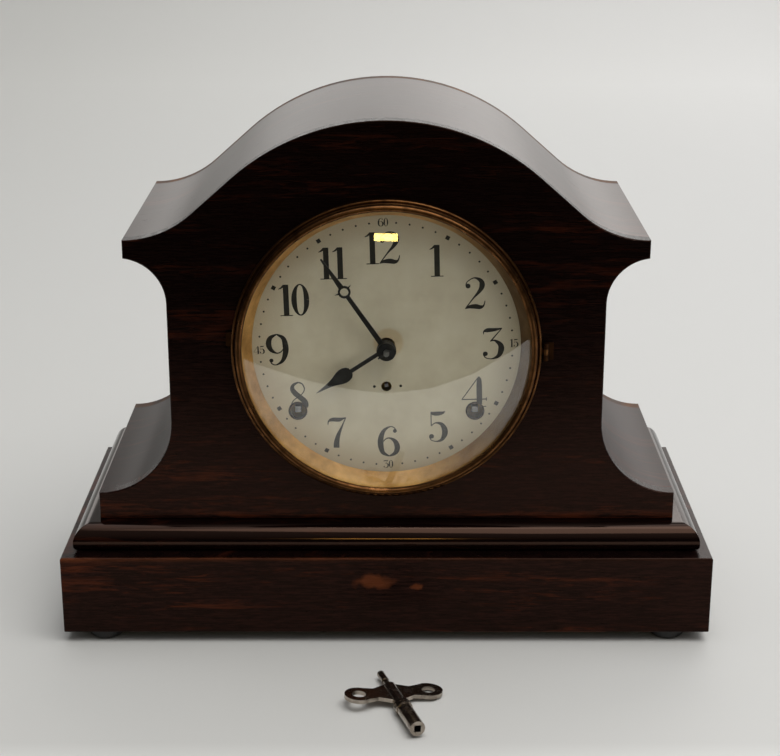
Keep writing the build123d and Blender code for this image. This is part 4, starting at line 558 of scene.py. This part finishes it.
def paper_sweep():
    """The pale paper under and behind the clock, up a wide curve, with its front edge cut as it lay. The strip in
    front, which only the glass shows, is painted whiter: painted light, for a brighter reflection in the glass."""
    edge = [(-3.0, -1.1), (-1.0, -0.7), (-0.27, -0.455), (-0.136, -0.411), (-0.062, -0.392), (0.0, -0.38),
            (0.08, -0.396), (0.176, -0.446), (0.336, -0.573), (1.0, -1.1), (3.0, -1.6)]
    bend = [(1.9 + 0.7 * math.sin(a), 0.7 - 0.7 * math.cos(a)) for a in [math.pi / 2 * i / 12 for i in range(13)]]
    back = [(0.2, 0.0), (1.0, 0.0)] + bend + [(2.6, 3.2)]
    mesh = bmesh.new()
    columns = [[mesh.verts.new((x, y, z)) for y, z in [(front, 0.0)] + back] for x, front in edge]
    for left, right in zip(columns, columns[1:]):
        for i in range(len(left) - 1):
            mesh.faces.new((left[i], right[i], right[i + 1], left[i + 1])).smooth = True
    data = bpy.data.meshes.new("paper_sweep")
    mesh.to_mesh(data)
    mesh.free()
    made, tree, skin, place = finish("pale_backdrop_paper", IOR=1.4, Roughness=0.7)
    # painted shade: the paper is painted darker to the left and paler to the right
    across = add(tree, "ShaderNodeSeparateXYZ", {"Vector": place}).outputs["X"]
    shade = add(tree, "ShaderNodeMapRange", {"Value": across, "From Min": -0.6, "From Max": 0.6}).outputs[0]
    tone = add(tree, "ShaderNodeValToRGB", {"Fac": shade}, [(0.0, "#cbcbc8"), (1.0, "#d8d8d7")])
    depth = add(tree, "ShaderNodeSeparateXYZ", {"Vector": place}).outputs["Y"]
    # painted light: the strip in front is painted whiter than the rest of the paper
    near = add(tree, "ShaderNodeMapRange", {"Value": depth, "From Min": -0.2, "From Max": -0.26}).outputs[0]
    painted_light_strip = add(tree, "ShaderNodeMix", {"Factor": near, "A": tone.outputs["Color"], "B": linear("#fbfbf8")},
                data_type="RGBA").outputs[2]
    tree.links.new(painted_light_strip, skin.inputs["Base Color"])
    data.materials.append(made)
    sweep = bpy.data.objects.new("paper_sweep", data)
    bpy.context.scene.collection.objects.link(sweep)


def lamp(name, place, aim, size, power, colour):
    """A soft flat lamp that the camera doesn't see."""
    light = bpy.data.lights.new(name, "AREA")
    light.shape = "RECTANGLE"
    light.size, light.size_y = size
    light.energy = power
    light.color = linear(colour)[:3]
    made = bpy.data.objects.new(name, light)
    made.location = place
    made.rotation_euler = (Vector(aim) - Vector(place)).to_track_quat("-Z", "Y").to_euler()
    made.visible_camera = False
    bpy.context.scene.collection.objects.link(made)


def room():
    """A dim room that is brighter overhead and to the right."""
    world = bpy.data.worlds.new("room")
    bpy.context.scene.world = world
    world.use_nodes = True
    tree = world.node_tree
    tree.nodes.clear()
    way = add(tree, "ShaderNodeTexCoord").outputs["Generated"]
    height = add(tree, "ShaderNodeSeparateXYZ", {"Vector": way}).outputs["Z"]
    tone = add(tree, "ShaderNodeValToRGB", {"Fac": height}, [(0.12, 0.03), (0.5, 0.32), (1.0, 0.5)])
    across = add(tree, "ShaderNodeSeparateXYZ", {"Vector": way}).outputs["X"]
    level = add(tree, "ShaderNodeMapRange", {"Value": across, "From Min": -0.6, "From Max": 0.6, "To Min": 0.4,
                                             "To Max": 1.25}).outputs[0]
    light = add(tree, "ShaderNodeBackground", {"Color": tone.outputs["Color"], "Strength": level})
    add(tree, "ShaderNodeOutputWorld", {"Surface": light.outputs[0]})


paper_sweep()
room()
lamp("window_behind", place=(0.68, 2.4, 1.5), aim=(0, 0, 0.2), size=(2.65, 1.1), power=20.0, colour="#fffdfa")
lamp("low_window_behind", place=(0.15, 2.45, 0.6), aim=(0, 0, 0.3), size=(3.4, 0.6), power=7.0, colour="#fffdfa")
lamp("ceiling", place=(0.0, 0.5, 2.3), aim=(0.0, 0.5, 0), size=(2.2, 1.9), power=17.0, colour="#fdfdff")
lamp("window_right", place=(0.5, -0.6, 1.95), aim=(0, -0.05, 0.15), size=(1.8, 1.4), power=20.0, colour="#fffdf8")
lamp("small_window", place=(-0.012, -3.04, 0.672), aim=(0, -0.07, 0.226), size=(0.278, 0.087), power=2.0,
     colour="#ffe27a")

eye = bpy.data.cameras.new("camera")
eye.lens = 80.45
eye.sensor_width = 36.0
eye.sensor_fit = "HORIZONTAL"
camera = bpy.data.objects.new("camera", eye)
camera.location = (0.002, -0.9858, 0.4621)
camera.rotation_euler = (math.radians(71.36), 0.0, 0.0)
bpy.context.scene.collection.objects.link(camera)
bpy.context.scene.camera = camera
bpy.context.scene.view_settings.view_transform = "Standard"
